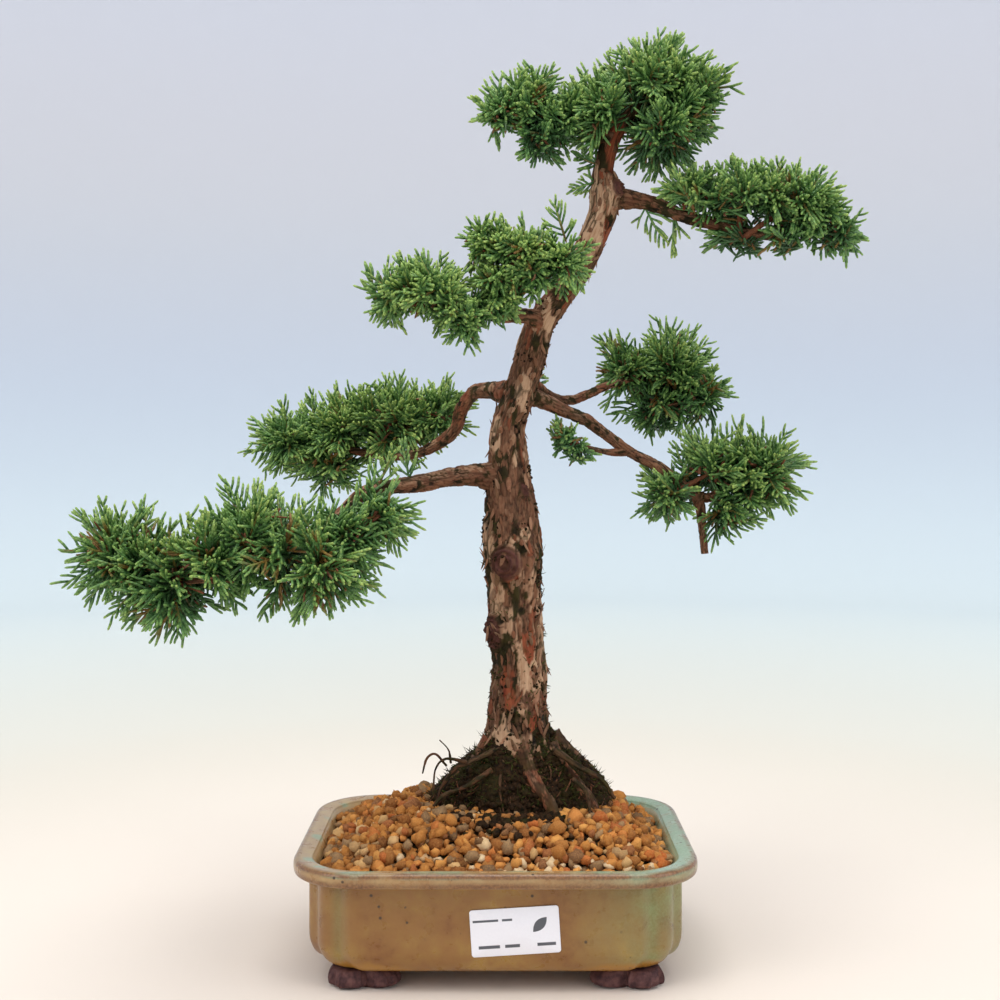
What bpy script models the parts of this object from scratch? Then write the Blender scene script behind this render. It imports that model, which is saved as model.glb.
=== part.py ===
"""A small juniper bonsai growing in a glazed, footed pot.

All sizes below are in millimetres; MM turns them into metres when a mesh is made.
The pot stands on Z = 0 with its long side along X and its front towards -Y.
Neighbouring pieces keep a clearance of GAP, so a piece that another passes into is
cut by that neighbour's own shape grown by GAP.
"""
from math import cos, floor, pi, radians, sin, sqrt

import bmesh
import bpy
import numpy as np
from mathutils import Matrix, Vector

MM = 0.001
GAP = 0.3                    # clearance between neighbouring pieces

# Pot
POT_LENGTH = 180.0           # over the lip, along X
POT_DEPTH = 140.0            # over the lip, along Y
RIM_HEIGHT = 55.5            # top of the lip above the table
FOOT_HEIGHT = 8.5            # underside of the pot above the table
FLOOR_THICKNESS = 5.0
WALL_THICKNESS = 6.0
LIP_OVERHANG = 7.0           # lip beyond the body wall
LIP_WIDTH = 8.5              # flat top of the lip
LIP_DEPTH = 7.0              # height of the lip's outer band
LIP_CORNER = 31.0            # plan radius of the lip's corners
BODY_CORNER = 11.0           # plan radius of the body's set-back corners
CORNER_SETBACK = 2.5         # step from a flat panel in to its corner
CORNER_POINTS = 7            # points on each corner's arc

# Drainage
HOLE_RADIUS = 8.0
HOLE_SPACING = 72.0
MESH_MARGIN = 4.0            # mesh beyond the hole's edge
MESH_CELLS = 6
MESH_THICKNESS = 0.8
CLIP_WIRE = 1.2
CLIP_GRIP = 4.0              # bent end of each leg beyond the hole's edge

# Feet: lobes seen from below, as plan radius and offset inwards from the corner lobe
FOOT_INSET_X = 19.0          # corner lobe's middle, in from the body's side
FOOT_INSET_Y = 16.5
CORNER_LOBE = 10.0
SIDE_LOBE = 7.5
LOBE_PITCH = 15.0

# Label on the front of the pot
LABEL_WIDTH = 38.5
LABEL_HEIGHT = 20.5
LABEL_THICKNESS = 0.3
LABEL_CORNER = 1.3
LABEL_X = 8.5
LABEL_Z = 29.0
LABEL_TILT = 3.6             # degrees, right end up

# Gravel, root ball and where the tree stands
TRUNK_X = 12.0               # the tree stands right of and behind the pot's middle
TRUNK_Y = 14.0
GRAVEL_BELOW_RIM = 4.0
GRAVEL_HEAP = 14.0           # rise of the gravel from the wall to the root ball
HEAP_SHARE = 0.45            # share of the way from the wall to the trunk over which it rises
DRAIN_LAYER = 6.0            # gravel under the root ball
BALL_RADIUS_X = 44.0
BALL_RADIUS_Y = 28.0
LUMP_PHASES = (4.64, -6.70)   # turn of the root ball's broad and fine lumps, in radians

TUBE_STEPS = 2               # stations on a tube between two of its route's points

WOOD = (0.30, 0.17, 0.11)
LEAF = (0.07, 0.20, 0.06)

for existing in list(bpy.data.objects):
    bpy.data.objects.remove(existing, do_unlink=True)
parts = bpy.data.collections.new("bonsai_tree_in_pot")
bpy.context.scene.collection.children.link(parts)
root = bpy.data.objects.new("bonsai_root", None)
parts.objects.link(root)


# ---------------------------------------------------------------- helpers

def material(name, colour, roughness, metallic=0.0):
    """A Principled material of one colour."""
    made = bpy.data.materials.new(name)
    made.use_nodes = True
    shader = made.node_tree.nodes["Principled BSDF"]
    shader.inputs["Base Color"].default_value = (*colour, 1.0)
    shader.inputs["Roughness"].default_value = roughness
    shader.inputs["Metallic"].default_value = metallic
    return made


def piece_from_bmesh(name, shape):
    """Make an object from a bmesh measured in millimetres."""
    bmesh.ops.scale(shape, vec=(MM, MM, MM), verts=shape.verts)
    bmesh.ops.recalc_face_normals(shape, faces=shape.faces)
    mesh = bpy.data.meshes.new(name)
    shape.to_mesh(mesh)
    shape.free()
    made = bpy.data.objects.new(name, mesh)
    parts.objects.link(made)
    return made


def apply_modifiers(piece):
    """Replace a piece's mesh by the mesh that its modifiers give."""
    depsgraph = bpy.context.evaluated_depsgraph_get()
    finished = bpy.data.meshes.new_from_object(piece.evaluated_get(depsgraph))
    piece.modifiers.clear()
    piece.data = finished
    return piece


def boolean(piece, tool, operation):
    """Apply one exact Boolean to a piece and remove the tool."""
    step = piece.modifiers.new("step", 'BOOLEAN')
    step.operation = operation
    step.object = tool
    apply_modifiers(piece)
    bpy.data.objects.remove(tool, do_unlink=True)
    return piece


def join(piece, *others):
    """Unite a piece with others that it overlaps."""
    for other in others:
        boolean(piece, other, 'UNION')
    return piece


def cut(piece, *tools):
    """Take the tools' shapes away from a piece."""
    for tool in tools:
        boolean(piece, tool, 'DIFFERENCE')
    return piece


def finish(piece, finish_material, smooth_angle=40.0):
    """Give a piece its material and smooth shading, and hang it on the root."""
    piece.data.materials.clear()
    piece.data.materials.append(finish_material)
    piece.data.shade_smooth()
    piece.data.set_sharp_from_angle(angle=radians(smooth_angle))
    piece.parent = root
    return piece


def loft(name, rings):
    """A closed solid through rings of equally many points, capped at both ends. Every
    side face is split the same way, so that a grown copy keeps its clearance all over."""
    shape = bmesh.new()
    rows = [[shape.verts.new(point) for point in ring] for ring in rings]
    count = len(rows[0])
    for lower, upper in zip(rows[:-1], rows[1:]):
        for i in range(count):
            j = (i + 1) % count
            shape.faces.new((lower[i], lower[j], upper[j]))
            shape.faces.new((lower[i], upper[j], upper[i]))
    shape.faces.new(rows[0][::-1])
    shape.faces.new(rows[-1])
    return piece_from_bmesh(name, shape)


def box(name, low, high):
    """A box between two corners."""
    shape = bmesh.new()
    bmesh.ops.create_cube(shape, size=1.0)
    low, high = Vector(low), Vector(high)
    bmesh.ops.scale(shape, vec=high - low, verts=shape.verts)
    bmesh.ops.translate(shape, vec=(low + high) / 2, verts=shape.verts)
    return piece_from_bmesh(name, shape)


def cylinder(name, radius, low, high, x, y):
    """An upright cylinder."""
    shape = bmesh.new()
    bmesh.ops.create_cone(shape, cap_ends=True, segments=32, radius1=radius, radius2=radius,
                          depth=high - low)
    bmesh.ops.translate(shape, vec=(x, y, (low + high) / 2), verts=shape.verts)
    return piece_from_bmesh(name, shape)


def ellipsoid(name, centre, radii, segments=11, rows=6):
    """A ball stretched to three radii."""
    shape = bmesh.new()
    bmesh.ops.create_uvsphere(shape, u_segments=segments, v_segments=rows, radius=1.0)
    bmesh.ops.scale(shape, vec=radii, verts=shape.verts)
    bmesh.ops.translate(shape, vec=centre, verts=shape.verts)
    return piece_from_bmesh(name, shape)


def smooth_route(points, steps=TUBE_STEPS):
    """Stations on a Catmull-Rom curve through points, which may carry a radius too."""
    points = np.array(points, dtype=float)
    ends = np.vstack([2 * points[0] - points[1], points, 2 * points[-1] - points[-2]])
    stations = []
    for before, start, end, after in zip(ends[:-3], ends[1:-2], ends[2:-1], ends[3:]):
        for t in np.arange(steps) / steps:
            stations.append(0.5 * (2 * start + (end - before) * t
                                   + (2 * before - 5 * start + 4 * end - after) * t ** 2
                                   + (3 * start - before - 3 * end + after) * t ** 3))
    stations.append(points[-1])
    return np.array(stations)


def tube(name, route, bevel_resolution=2):
    """A round tube along (x, y, z, radius) stations, closed at both ends."""
    curve = bpy.data.curves.new(name, 'CURVE')
    curve.dimensions = '3D'
    curve.bevel_depth = MM
    curve.bevel_resolution = bevel_resolution
    curve.use_fill_caps = True
    spline = curve.splines.new('POLY')
    spline.points.add(len(route) - 1)
    for point, (x, y, z, radius) in zip(spline.points, route):
        point.co = (x * MM, y * MM, z * MM, 1.0)
        point.radius = radius
    return solid_from_curve(name, curve)


def solid_from_curve(name, curve):
    """Turn a curve into a mesh object with its caps welded on."""
    drawn = bpy.data.objects.new(name + "_curve", curve)
    parts.objects.link(drawn)
    depsgraph = bpy.context.evaluated_depsgraph_get()
    mesh = bpy.data.meshes.new_from_object(drawn.evaluated_get(depsgraph))
    shape = bmesh.new()
    shape.from_mesh(mesh)
    bmesh.ops.remove_doubles(shape, verts=shape.verts, dist=0.001 * MM)
    bmesh.ops.recalc_face_normals(shape, faces=shape.faces)
    shape.to_mesh(mesh)
    shape.free()
    made = bpy.data.objects.new(name, mesh)
    made.matrix_world = drawn.matrix_world
    parts.objects.link(made)
    bpy.data.objects.remove(drawn, do_unlink=True)
    return made


# ---------------------------------------------------------------- pot

def pot_outline(inset, corner, setback, z):
    """One turn round the pot, anticlockwise from +X: flat panels, with each rounded
    corner set back from the panels by a small step."""
    half_x = POT_LENGTH / 2 - inset
    half_y = POT_DEPTH / 2 - inset
    centre_x = half_x - setback - corner
    centre_y = half_y - setback - corner
    quarter = [(half_x, 0.0), (half_x, centre_y - setback), (half_x - setback, centre_y)]
    for angle in np.linspace(0.0, pi / 2, CORNER_POINTS)[1:-1]:
        quarter.append((centre_x + corner * cos(angle), centre_y + corner * sin(angle)))
    quarter += [(centre_x, half_y - setback), (centre_x - setback, half_y)]
    last = [(0.0, half_y)]
    right_back = quarter + last
    left_back = [(-x, y) for x, y in quarter[::-1]]
    left_front = [(-x, -y) for x, y in quarter[1:] + last]
    right_front = [(x, -y) for x, y in quarter[::-1][:-1]]
    return [(x, y, z) for x, y in right_back + left_back + left_front + right_front]


def floor_height():
    """Height of the pot's inside floor."""
    return FOOT_HEIGHT + FLOOR_THICKNESS


def gravel_edge_height():
    """Height of the gravel where it meets the pot's wall."""
    return RIM_HEIGHT - GRAVEL_BELOW_RIM


def planted(points):
    """Points measured from the trunk's foot, level with the gravel's edge, in the pot's frame."""
    return np.array(points, dtype=float) + (TRUNK_X, TRUNK_Y, gravel_edge_height())


def inner_sections(grow=0.0):
    """Sections of the pot's inside, floor first, each moved inwards by grow."""
    wall = LIP_OVERHANG + WALL_THICKNESS
    floor = floor_height()
    edge = gravel_edge_height()
    sections = [
        (wall + 7.0, 16.0, floor), (wall + 3.2, 17.5, floor + 1.4),
        (wall + 0.8, 18.5, floor + 5.0), (wall, 19.0, floor + 9.0),
        (wall - 0.6, 21.0, edge - 8.0), ((wall + LIP_WIDTH) / 2 - 0.6, 23.0, edge),
    ]
    return [pot_outline(inset + grow, corner, 0.05, z) for inset, corner, z in sections]


def make_pot():
    """The pot in one casting: body, rolled lip, inner wall and floor, with two drain holes."""
    side = LIP_OVERHANG
    lip_low = RIM_HEIGHT - LIP_DEPTH
    step, round_in = CORNER_SETBACK, BODY_CORNER
    outer = [
        (side + 10.0, round_in + 3.0, 0.6 * step, FOOT_HEIGHT),
        (side + 6.0, round_in + 1.5, 0.8 * step, FOOT_HEIGHT + 0.8),
        (side + 2.8, round_in, step, FOOT_HEIGHT + 3.2),
        (side + 0.8, round_in, step, FOOT_HEIGHT + 7.5),
        (side, round_in, step, FOOT_HEIGHT + 12.5),
        (side, round_in, step, lip_low - 2.6),
        (side - 0.9, round_in + 5.0, 0.6 * step, lip_low - 0.9),
        (side - 3.4, LIP_CORNER - 6.0, 0.2 * step, lip_low - 0.1),
        (0.8, LIP_CORNER - 1.0, 0.05, lip_low + 0.6),
        (0.0, LIP_CORNER, 0.05, lip_low + 2.4),
        (0.0, LIP_CORNER, 0.05, RIM_HEIGHT - 1.9),
        (0.7, LIP_CORNER - 0.6, 0.05, RIM_HEIGHT - 0.5),
        (2.2, LIP_CORNER - 1.8, 0.05, RIM_HEIGHT),
        (LIP_WIDTH - 1.0, LIP_CORNER - 6.0, 0.05, RIM_HEIGHT - 0.6),
        (LIP_WIDTH, LIP_CORNER - 7.0, 0.05, RIM_HEIGHT - 1.5),
    ]
    rings = [pot_outline(*section) for section in outer] + inner_sections()[::-1]
    pot = loft("pot_body", rings)
    holes = [cylinder("hole", HOLE_RADIUS, 0.0, floor_height() + 1.0, side_sign * HOLE_SPACING / 2, 0.0)
             for side_sign in (-1, 1)]
    cut(pot, *holes)
    return finish(pot, material("glaze", (0.42, 0.30, 0.13), 0.35))


def make_feet():
    """Four lobed feet under the base's corners, flat below and flat against the base."""
    clay = material("bare_clay", (0.12, 0.06, 0.06), 0.8)
    body_x = POT_LENGTH / 2 - LIP_OVERHANG
    body_y = POT_DEPTH / 2 - LIP_OVERHANG
    for end_name, y_sign in (("front", -1), ("back", 1)):
        for side_name, x_sign in (("left", -1), ("right", 1)):
            x = body_x - FOOT_INSET_X
            y = body_y - FOOT_INSET_Y
            middle = 0.45 * FOOT_HEIGHT
            lobes = [(x, y, CORNER_LOBE), (x - LOBE_PITCH, y + 1.5, SIDE_LOBE),
                     (x + 1.5, y - LOBE_PITCH, SIDE_LOBE)]
            shapes = [ellipsoid("lobe", (x_sign * lobe_x, y_sign * lobe_y, middle),
                                (radius, radius, 0.75 * FOOT_HEIGHT), 14, 8)
                      for lobe_x, lobe_y, radius in lobes]
            foot = join(*shapes)
            foot.name = f"pot_foot_{end_name}_{side_name}"
            slab = box("slab", (-POT_LENGTH, -POT_DEPTH, 0.0), (POT_LENGTH, POT_DEPTH, FOOT_HEIGHT - GAP))
            finish(boolean(foot, slab, 'INTERSECT'), clay)


def mesh_side():
    """Side of the square drainage mesh."""
    return 2 * (HOLE_RADIUS + MESH_MARGIN)


def mesh_bottom():
    """Height of the drainage mesh's underside."""
    return floor_height() + GAP


def clip_leg():
    """Plan place of a clip's leg from the hole's middle: the outermost mesh opening, in
    the row beside the middle bar, where the wire still clears the hole's wall."""
    cell = mesh_side() / MESH_CELLS
    reach = sqrt((HOLE_RADIUS - CLIP_WIRE / 2 - GAP) ** 2 - (cell / 2) ** 2)
    return (floor(reach / cell - 0.5) + 0.5) * cell, cell / 2


def clip_top():
    """Height of the top of a mesh clip's wire."""
    return mesh_bottom() + MESH_THICKNESS + GAP + CLIP_WIRE


def make_drainage():
    """A plastic mesh over each drain hole, held by a wire clip through the hole."""
    plastic = material("mesh_plastic", (0.03, 0.03, 0.03), 0.6)
    wire = material("clip_wire", (0.75, 0.76, 0.78), 0.35, 1.0)
    radius = CLIP_WIRE / 2
    under = FOOT_HEIGHT - GAP - radius
    over = clip_top() - radius
    bend = CLIP_WIRE
    half, y = clip_leg()
    toe = HOLE_RADIUS + CLIP_GRIP
    for side_name, x_sign in (("left", -1), ("right", 1)):
        x = x_sign * HOLE_SPACING / 2
        shape = bmesh.new()
        bmesh.ops.create_grid(shape, x_segments=MESH_CELLS, y_segments=MESH_CELLS, size=mesh_side() / 2)
        bmesh.ops.translate(shape, vec=(x, 0.0, mesh_bottom() + MESH_THICKNESS / 2), verts=shape.verts)
        lattice = piece_from_bmesh("drainage_mesh_" + side_name, shape)
        bars = lattice.modifiers.new("bars", 'WIREFRAME')
        bars.thickness = MESH_THICKNESS * MM
        bars.use_boundary = True
        finish(apply_modifiers(lattice), plastic)

        leg = [(toe, under), (half + bend, under), (half + 0.3 * bend, under + 0.3 * bend),
               (half, under + bend), (half, over - bend), (half - 0.3 * bend, over - 0.3 * bend),
               (half - bend, over)]
        route = [(x - along, y, z, radius) for along, z in leg]
        route += [(x + along, y, z, radius) for along, z in leg[::-1]]
        finish(tube("mesh_clip_" + side_name, route), wire)


def make_label():
    """A thin card with round corners, stuck slightly askew on the front panel."""
    outline = []
    for quadrant in range(4):
        sign_x = (1, -1, -1, 1)[quadrant]
        sign_y = (1, 1, -1, -1)[quadrant]
        for angle in np.linspace(0.0, pi / 2, 4) + quadrant * pi / 2:
            outline.append((sign_x * (LABEL_WIDTH / 2 - LABEL_CORNER) + LABEL_CORNER * cos(angle),
                            sign_y * (LABEL_HEIGHT / 2 - LABEL_CORNER) + LABEL_CORNER * sin(angle)))
    curve = bpy.data.curves.new("label", 'CURVE')
    curve.dimensions = '2D'
    curve.fill_mode = 'BOTH'
    curve.extrude = LABEL_THICKNESS / 2 * MM
    spline = curve.splines.new('POLY')
    spline.points.add(len(outline) - 1)
    spline.use_cyclic_u = True
    for point, (x, y) in zip(spline.points, outline):
        point.co = (x * MM, y * MM, 0.0, 1.0)
    label = solid_from_curve("label", curve)
    face_y = -(POT_DEPTH / 2 - LIP_OVERHANG) - GAP - LABEL_THICKNESS / 2
    place = (Matrix.Translation(Vector((LABEL_X, face_y, LABEL_Z)) * MM)
             @ Matrix.Rotation(pi / 2, 4, 'X') @ Matrix.Rotation(radians(LABEL_TILT), 4, 'Z'))
    label.data.transform(place)
    return finish(label, material("label_paper", (0.86, 0.86, 0.90), 0.5))


# ---------------------------------------------------------------- gravel and root ball

def heap_rise(share):
    """Rise of the gravel above its edge, a given share of the way from the wall to the trunk."""
    way = min(share / HEAP_SHARE, 1.0)
    return GRAVEL_HEAP * way * way * (3.0 - 2.0 * way)


def make_gravel():
    """The grit that fills the pot, hollowed for the root ball and over the drain meshes."""
    walls = [np.array(ring) for ring in inner_sections(grow=GAP)]
    for ring in walls:
        ring[:, 2] = np.minimum(ring[:, 2] + GAP, gravel_edge_height())
    edge = walls[-1]
    middle = np.array([TRUNK_X, TRUNK_Y, 0.0])
    heap = []
    for share in (0.09, 0.18, 0.27, 0.36, 0.45, 0.75):
        ring = edge + (middle - edge) * share
        ring[:, 2] = gravel_edge_height() + heap_rise(share)
        heap.append(ring)
    gravel = loft("gravel_fill", walls + heap)
    pockets = []
    half = mesh_side() / 2 + MESH_THICKNESS / 2 + 2 * GAP
    for x_sign in (-1, 1):
        x = x_sign * HOLE_SPACING / 2
        pockets.append(box("pocket", (x - half, -half, 0.0), (x + half, half, clip_top() + GAP)))
    cut(gravel, root_ball_shape("hollow", GAP), trunk_shape("trunk_cutter", GAP), *pockets)
    return finish(gravel, material("gravel", (0.50, 0.27, 0.10), 0.9))


def root_ball_shape(name, grow=0.0):
    """The old root ball: a rounded block in the gravel that rises to a mound at the trunk."""
    low = floor_height() + DRAIN_LAYER
    edge = gravel_edge_height()
    sections = [
        (low - grow, 0.72, 0.72), (low + 5.0, 0.90, 0.92), (low + 16.0, 0.98, 1.0),
        (edge + 13.0, 1.0, 1.0), (edge + 20.0, 0.95, 0.97), (edge + 26.0, 0.83, 0.87),
        (edge + 31.0, 0.71, 0.78), (edge + 36.0, 0.58, 0.70), (edge + 41.0, 0.44, 0.61),
        (edge + 46.0 + grow, 0.33, 0.48),
    ]
    rings = []
    for z, share_x, share_y in sections:
        above = z - edge
        ring = []
        for angle in np.linspace(0.0, 2 * pi, 24, endpoint=False):
            lump = (1.0 + 0.05 * sin(3 * angle + 0.09 * above + LUMP_PHASES[0])
                    + 0.03 * sin(5 * angle - 0.13 * above + LUMP_PHASES[1]))
            ring.append((TRUNK_X + (BALL_RADIUS_X * share_x * lump + grow) * cos(angle),
                         TRUNK_Y + (BALL_RADIUS_Y * share_y * lump + grow) * sin(angle), z))
        rings.append(ring)
    return loft(name, rings)


def make_root_ball():
    """Dark soil and fine roots, cut by the trunk and its surface roots."""
    ball = cut(root_ball_shape("root_ball"), trunk_shape("trunk_cutter", GAP))
    return finish(ball, material("root_soil", (0.05, 0.035, 0.025), 0.95))


# ---------------------------------------------------------------- trunk and limbs

# The tree's own frame has its origin at the trunk's foot, level with the gravel's edge.
# Middle line and radius of the trunk, from inside the root ball to inside the crown
TRUNK_ROUTE = [
    (0, 0, -1, 15.0), (0, 0, 17, 17.5), (0, 0, 31, 18.0), (-1, 0, 45, 16.0),
    (-1, 0, 61, 14.2), (-1, 0, 83, 12.8), (-3, 0, 109, 12.6), (-4, 0, 133, 14.4),
    (-5, 0, 157, 13.0), (-6, 0, 175, 10.0), (-6, 0, 195, 8.0), (0, 0, 212, 7.4),
    (4, 0, 227, 7.6), (9, -1, 244, 7.0), (19, -2, 258, 6.6), (30, -3, 276, 6.6),
    (38, -4, 294, 6.8), (40, -4, 307, 7.2), (39, -5, 317, 5.0), (43, -6, 331, 4.4),
    (50, -6, 342, 4.0), (58, -6, 352, 2.6),
]

# Surface roots: each runs from the flare of the trunk down over the mound
ROOT_ROUTES = [
    [(0, -12, 41, 4.5), (6, -22, 29, 3.6), (14, -29, 18, 3.0), (17, -33, 7, 2.2)],
    [(12, -6, 41, 4.5), (23, -11, 29, 3.8), (32, -16, 19, 3.0), (37, -20, 9, 2.2)],
    [(14, 2, 43, 5.0), (27, 2, 33, 4.2), (37, 3, 23, 3.2), (45, 4, 10, 2.2)],
    [(-13, -4, 43, 4.5), (-24, -6, 32, 3.4), (-34, -7, 23, 2.8), (-43, -9, 10, 2.0)],
    [(-12, 6, 41, 5.0), (-24, 13, 29, 3.8), (-32, 19, 17, 3.0), (-38, 23, 7, 2.2)],
    [(4, 12, 41, 5.0), (10, 20, 29, 3.8), (15, 26, 17, 3.0), (18, 30, 7, 2.2)],
]

# Old knots and a cut stub, as centre and radii
KNOTS = [
    ((-7, -13, 131), (7.5, 5.0, 9.5)), ((-15, -7, 96), (6.0, 6.0, 9.0)),
    ((46, -8, 307), (6.0, 5.0, 5.0)),
]

# Limbs: each starts inside the trunk, whose shape trims it
LIMB_ROUTES = {
    "limb_lower_left": [
        [(-8, 1, 171, 6.0), (-21, -4, 172, 5.2), (-36, -12, 171, 4.4), (-46, -18, 169, 4.0),
         (-70, -34, 165, 3.4), (-82, -42, 155, 3.2), (-104, -52, 142, 3.0), (-133, -60, 133, 2.6),
         (-162, -64, 136, 1.8)]],
    "limb_mid_left": [
        [(-4, 3, 211, 5.0), (-12, 13, 213, 4.4), (-22, 24, 213, 3.8), (-29, 33, 205, 3.4),
         (-32, 39, 196, 3.2), (-39, 45, 189, 3.0), (-54, 54, 182, 2.6), (-72, 62, 181, 2.2),
         (-104, 70, 187, 1.6)]],
    "limb_upper_left": [
        [(10, -1, 245, 4.4), (2, -12, 247, 3.4), (-14, -24, 246, 2.8), (-28, -34, 249, 2.4),
         (-46, -41, 252, 1.8), (-58, -44, 254, 1.4)],
        [(-4, -17, 247, 2.2), (-6, -24, 255, 1.9), (-8, -30, 261, 1.6), (0, -34, 269, 1.2)]],
    "limb_crown_left": [
        [(42, -6, 330, 3.2), (32, -7, 335, 2.4), (20, -9, 340, 2.0), (4, -11, 345, 1.4)]],
    "limb_upper_right": [
        [(39, -3, 303, 5.0), (50, -4, 303, 4.2), (63, -6, 300, 3.6), (76, -10, 294, 3.2),
         (89, -14, 290, 3.0), (103, -19, 285, 2.4), (120, -23, 282, 1.8)]],
    "limb_mid_right": [
        [(0, 1, 211, 4.6), (10, 6, 208, 3.6), (22, 10, 203, 3.2), (33, 13, 198, 3.0),
         (43, 16, 191, 2.9), (54, 18, 183, 2.8), (68, 18, 176, 2.7), (81, 18, 166, 2.5),
         (89, 18, 161, 2.6), (96, 19, 162, 2.0), (104, 20, 171, 1.6), (112, 20, 180, 1.2)],
        [(87, 18, 163, 2.4), (89, 18, 154, 2.2), (90, 18, 144, 2.0), (91, 18, 133, 1.8)],
        [(52, 18, 184, 2.0), (44, 15, 183, 1.4), (34, 11, 185, 1.2), (25, 9, 188, 1.0)]],
    "limb_mid_right_back": [
        [(2, 3, 220, 3.6), (8, 14, 215, 3.0), (16, 22, 210, 2.8), (25, 27, 209, 2.6), (34, 33, 212, 2.4),
         (45, 41, 217, 2.0), (58, 49, 221, 1.6), (72, 58, 225, 1.2)]],
}


def grown(route, grow):
    """A planted route with its radius raised by grow and its tip pushed on to match."""
    stations = smooth_route(route)
    stations[:, :3] = planted(stations[:, :3])
    stations[:, 3] += grow
    if grow:
        onward = stations[-1, :3] - stations[-2, :3]
        stations[-1, :3] += 2 * grow * onward / np.linalg.norm(onward)
    return stations


def trunk_shape(name, grow=0.0):
    """The trunk with its surface roots and knots in one piece."""
    trunk = tube(name, grown(TRUNK_ROUTE, grow), bevel_resolution=3)
    roots = [tube("root", grown(route, grow)) for route in ROOT_ROUTES]
    knots = [ellipsoid("knot", planted(centre), [radius + grow for radius in radii], 8, 5)
             for centre, radii in KNOTS]
    return join(trunk, *roots, *knots)


def limb_shape(name, grow=0.0):
    """A limb and its side shoots in one piece, still running into the trunk."""
    stems = [tube(name, grown(route, grow)) for route in LIMB_ROUTES[name]]
    return join(*stems)


def make_trunk():
    """The trunk, finished."""
    return finish(trunk_shape("trunk"), material("bark", WOOD, 0.9))


def make_limbs():
    """Every limb, trimmed to the trunk's surface."""
    bark = bpy.data.materials["bark"]
    for name in LIMB_ROUTES:
        limb = cut(limb_shape(name), trunk_shape("trunk_cutter", GAP))
        finish(limb, bark)


# ---------------------------------------------------------------- foliage

# Lobes of each foliage pad, as centre and radii
PADS = {
    "foliage_crown": [
        ((38, -6, 343), (21, 32, 24)), ((61, -4, 357), (26, 38, 27)), ((82, -9, 351), (16, 30, 23)),
        ((65, -10, 331), (24, 32, 20)),
    ],
    "foliage_crown_left": [
        ((-7, -14, 343), (15, 20, 18)), ((8, -8, 349), (15, 23, 22)), ((9, -12, 330), (15, 20, 15)),
    ],
    "foliage_upper_right": [
        ((80, -18, 303), (19, 24, 14)), ((101, -20, 299), (20, 30, 20)), ((126, -23, 297), (23, 32, 21)),
        ((144, -25, 284), (13, 20, 13)), ((101, -22, 281), (19, 24, 14)),
    ],
    "foliage_upper_left_outer": [
        ((-60, -44, 252), (15, 22, 17)), ((-41, -44, 254), (18, 28, 19)),
        ((-26, -39, 243), (14, 24, 15)),
    ],
    "foliage_upper_left_inner": [
        ((-17, -36, 276), (12, 18, 13)), ((-1, -38, 272), (16, 23, 16)),
        ((18, -40, 268), (15, 20, 16)),
    ],
    "foliage_mid_left": [
        ((-121, 70, 188), (24, 26, 23)), ((-92, 70, 193), (24, 30, 25)), ((-64, 68, 199), (25, 30, 25)),
        ((-40, 62, 201), (17, 22, 21)), ((-100, 68, 175), (24, 24, 16)),
    ],
    "foliage_lower_left": [
        ((-177, -62, 137), (26, 28, 25)), ((-149, -67, 127), (26, 33, 30)),
        ((-119, -61, 142), (29, 34, 29)), ((-88, -64, 135), (28, 33, 31)),
        ((-62, -56, 155), (18, 22, 22)),
    ],
    "foliage_mid_right_back": [
        ((55, 60, 224), (21, 26, 23)), ((79, 62, 225), (25, 30, 26)), ((95, 57, 211), (16, 24, 21)),
        ((70, 56, 205), (22, 24, 16)),
    ],
    "foliage_mid_right": [
        ((72, 16, 161), (19, 24, 20)), ((94, 17, 173), (23, 28, 24)), ((119, 16, 174), (25, 29, 26)),
        ((100, 18, 151), (20, 25, 18)),
    ],
    "foliage_mid_tuft": [
        ((21, 8, 189), (9, 10, 11)), ((30, 10, 183), (7, 8, 7)),
    ],
}


def pad_shape(name, grow=0.0):
    """A foliage pad: overlapping rounded lobes in one closed form."""
    lobes = [ellipsoid(name, planted(centre), [radius + grow for radius in radii])
             for centre, radii in PADS[name]]
    return join(*lobes)


def near_pad(pad_name, centre, radii):
    """Whether a lobe or a stretch of limb comes near a pad, judged by their boxes."""
    for lobe_centre, lobe_radii in PADS[pad_name]:
        spaces = [abs(a - b) - (ra + rb + GAP)
                  for a, b, ra, rb in zip(centre, lobe_centre, radii, lobe_radii)]
        if max(spaces) < 0:
            return True
    return False


def limb_reaches_pad(limb_name, pad_name):
    """Whether any station of a limb comes near a pad."""
    return any(near_pad(pad_name, station[:3], [station[3]] * 3)
               for route in LIMB_ROUTES[limb_name] for station in smooth_route(route))


def make_foliage():
    """Every pad, hollowed for the trunk and limbs, and clear of the pads made before it."""
    leaf = material("foliage", LEAF, 0.7)
    done = []
    for name in PADS:
        pad = cut(pad_shape(name), trunk_shape("trunk_cutter", GAP))
        for limb_name in LIMB_ROUTES:
            if limb_reaches_pad(limb_name, name):
                cut(pad, limb_shape(limb_name, GAP))
        for earlier in done:
            if any(near_pad(earlier, centre, radii) for centre, radii in PADS[name]):
                cut(pad, pad_shape(earlier, GAP))
        done.append(name)
        finish(pad, leaf)


def rest_on_origin():
    """Move the whole part so that the middle of its box stands on the origin."""
    bpy.context.view_layer.update()
    corners = [piece.matrix_world @ vertex.co
               for piece in parts.objects if piece.type == 'MESH' for vertex in piece.data.vertices]
    low = [min(corner[axis] for corner in corners) for axis in range(3)]
    high = [max(corner[axis] for corner in corners) for axis in range(3)]
    root.location = (-(low[0] + high[0]) / 2, -(low[1] + high[1]) / 2, -low[2])
    print("root moved by", [round(value / MM, 2) for value in root.location], "mm; size",
          [round((b - a) / MM, 1) for a, b in zip(low, high)], "mm")


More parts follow.
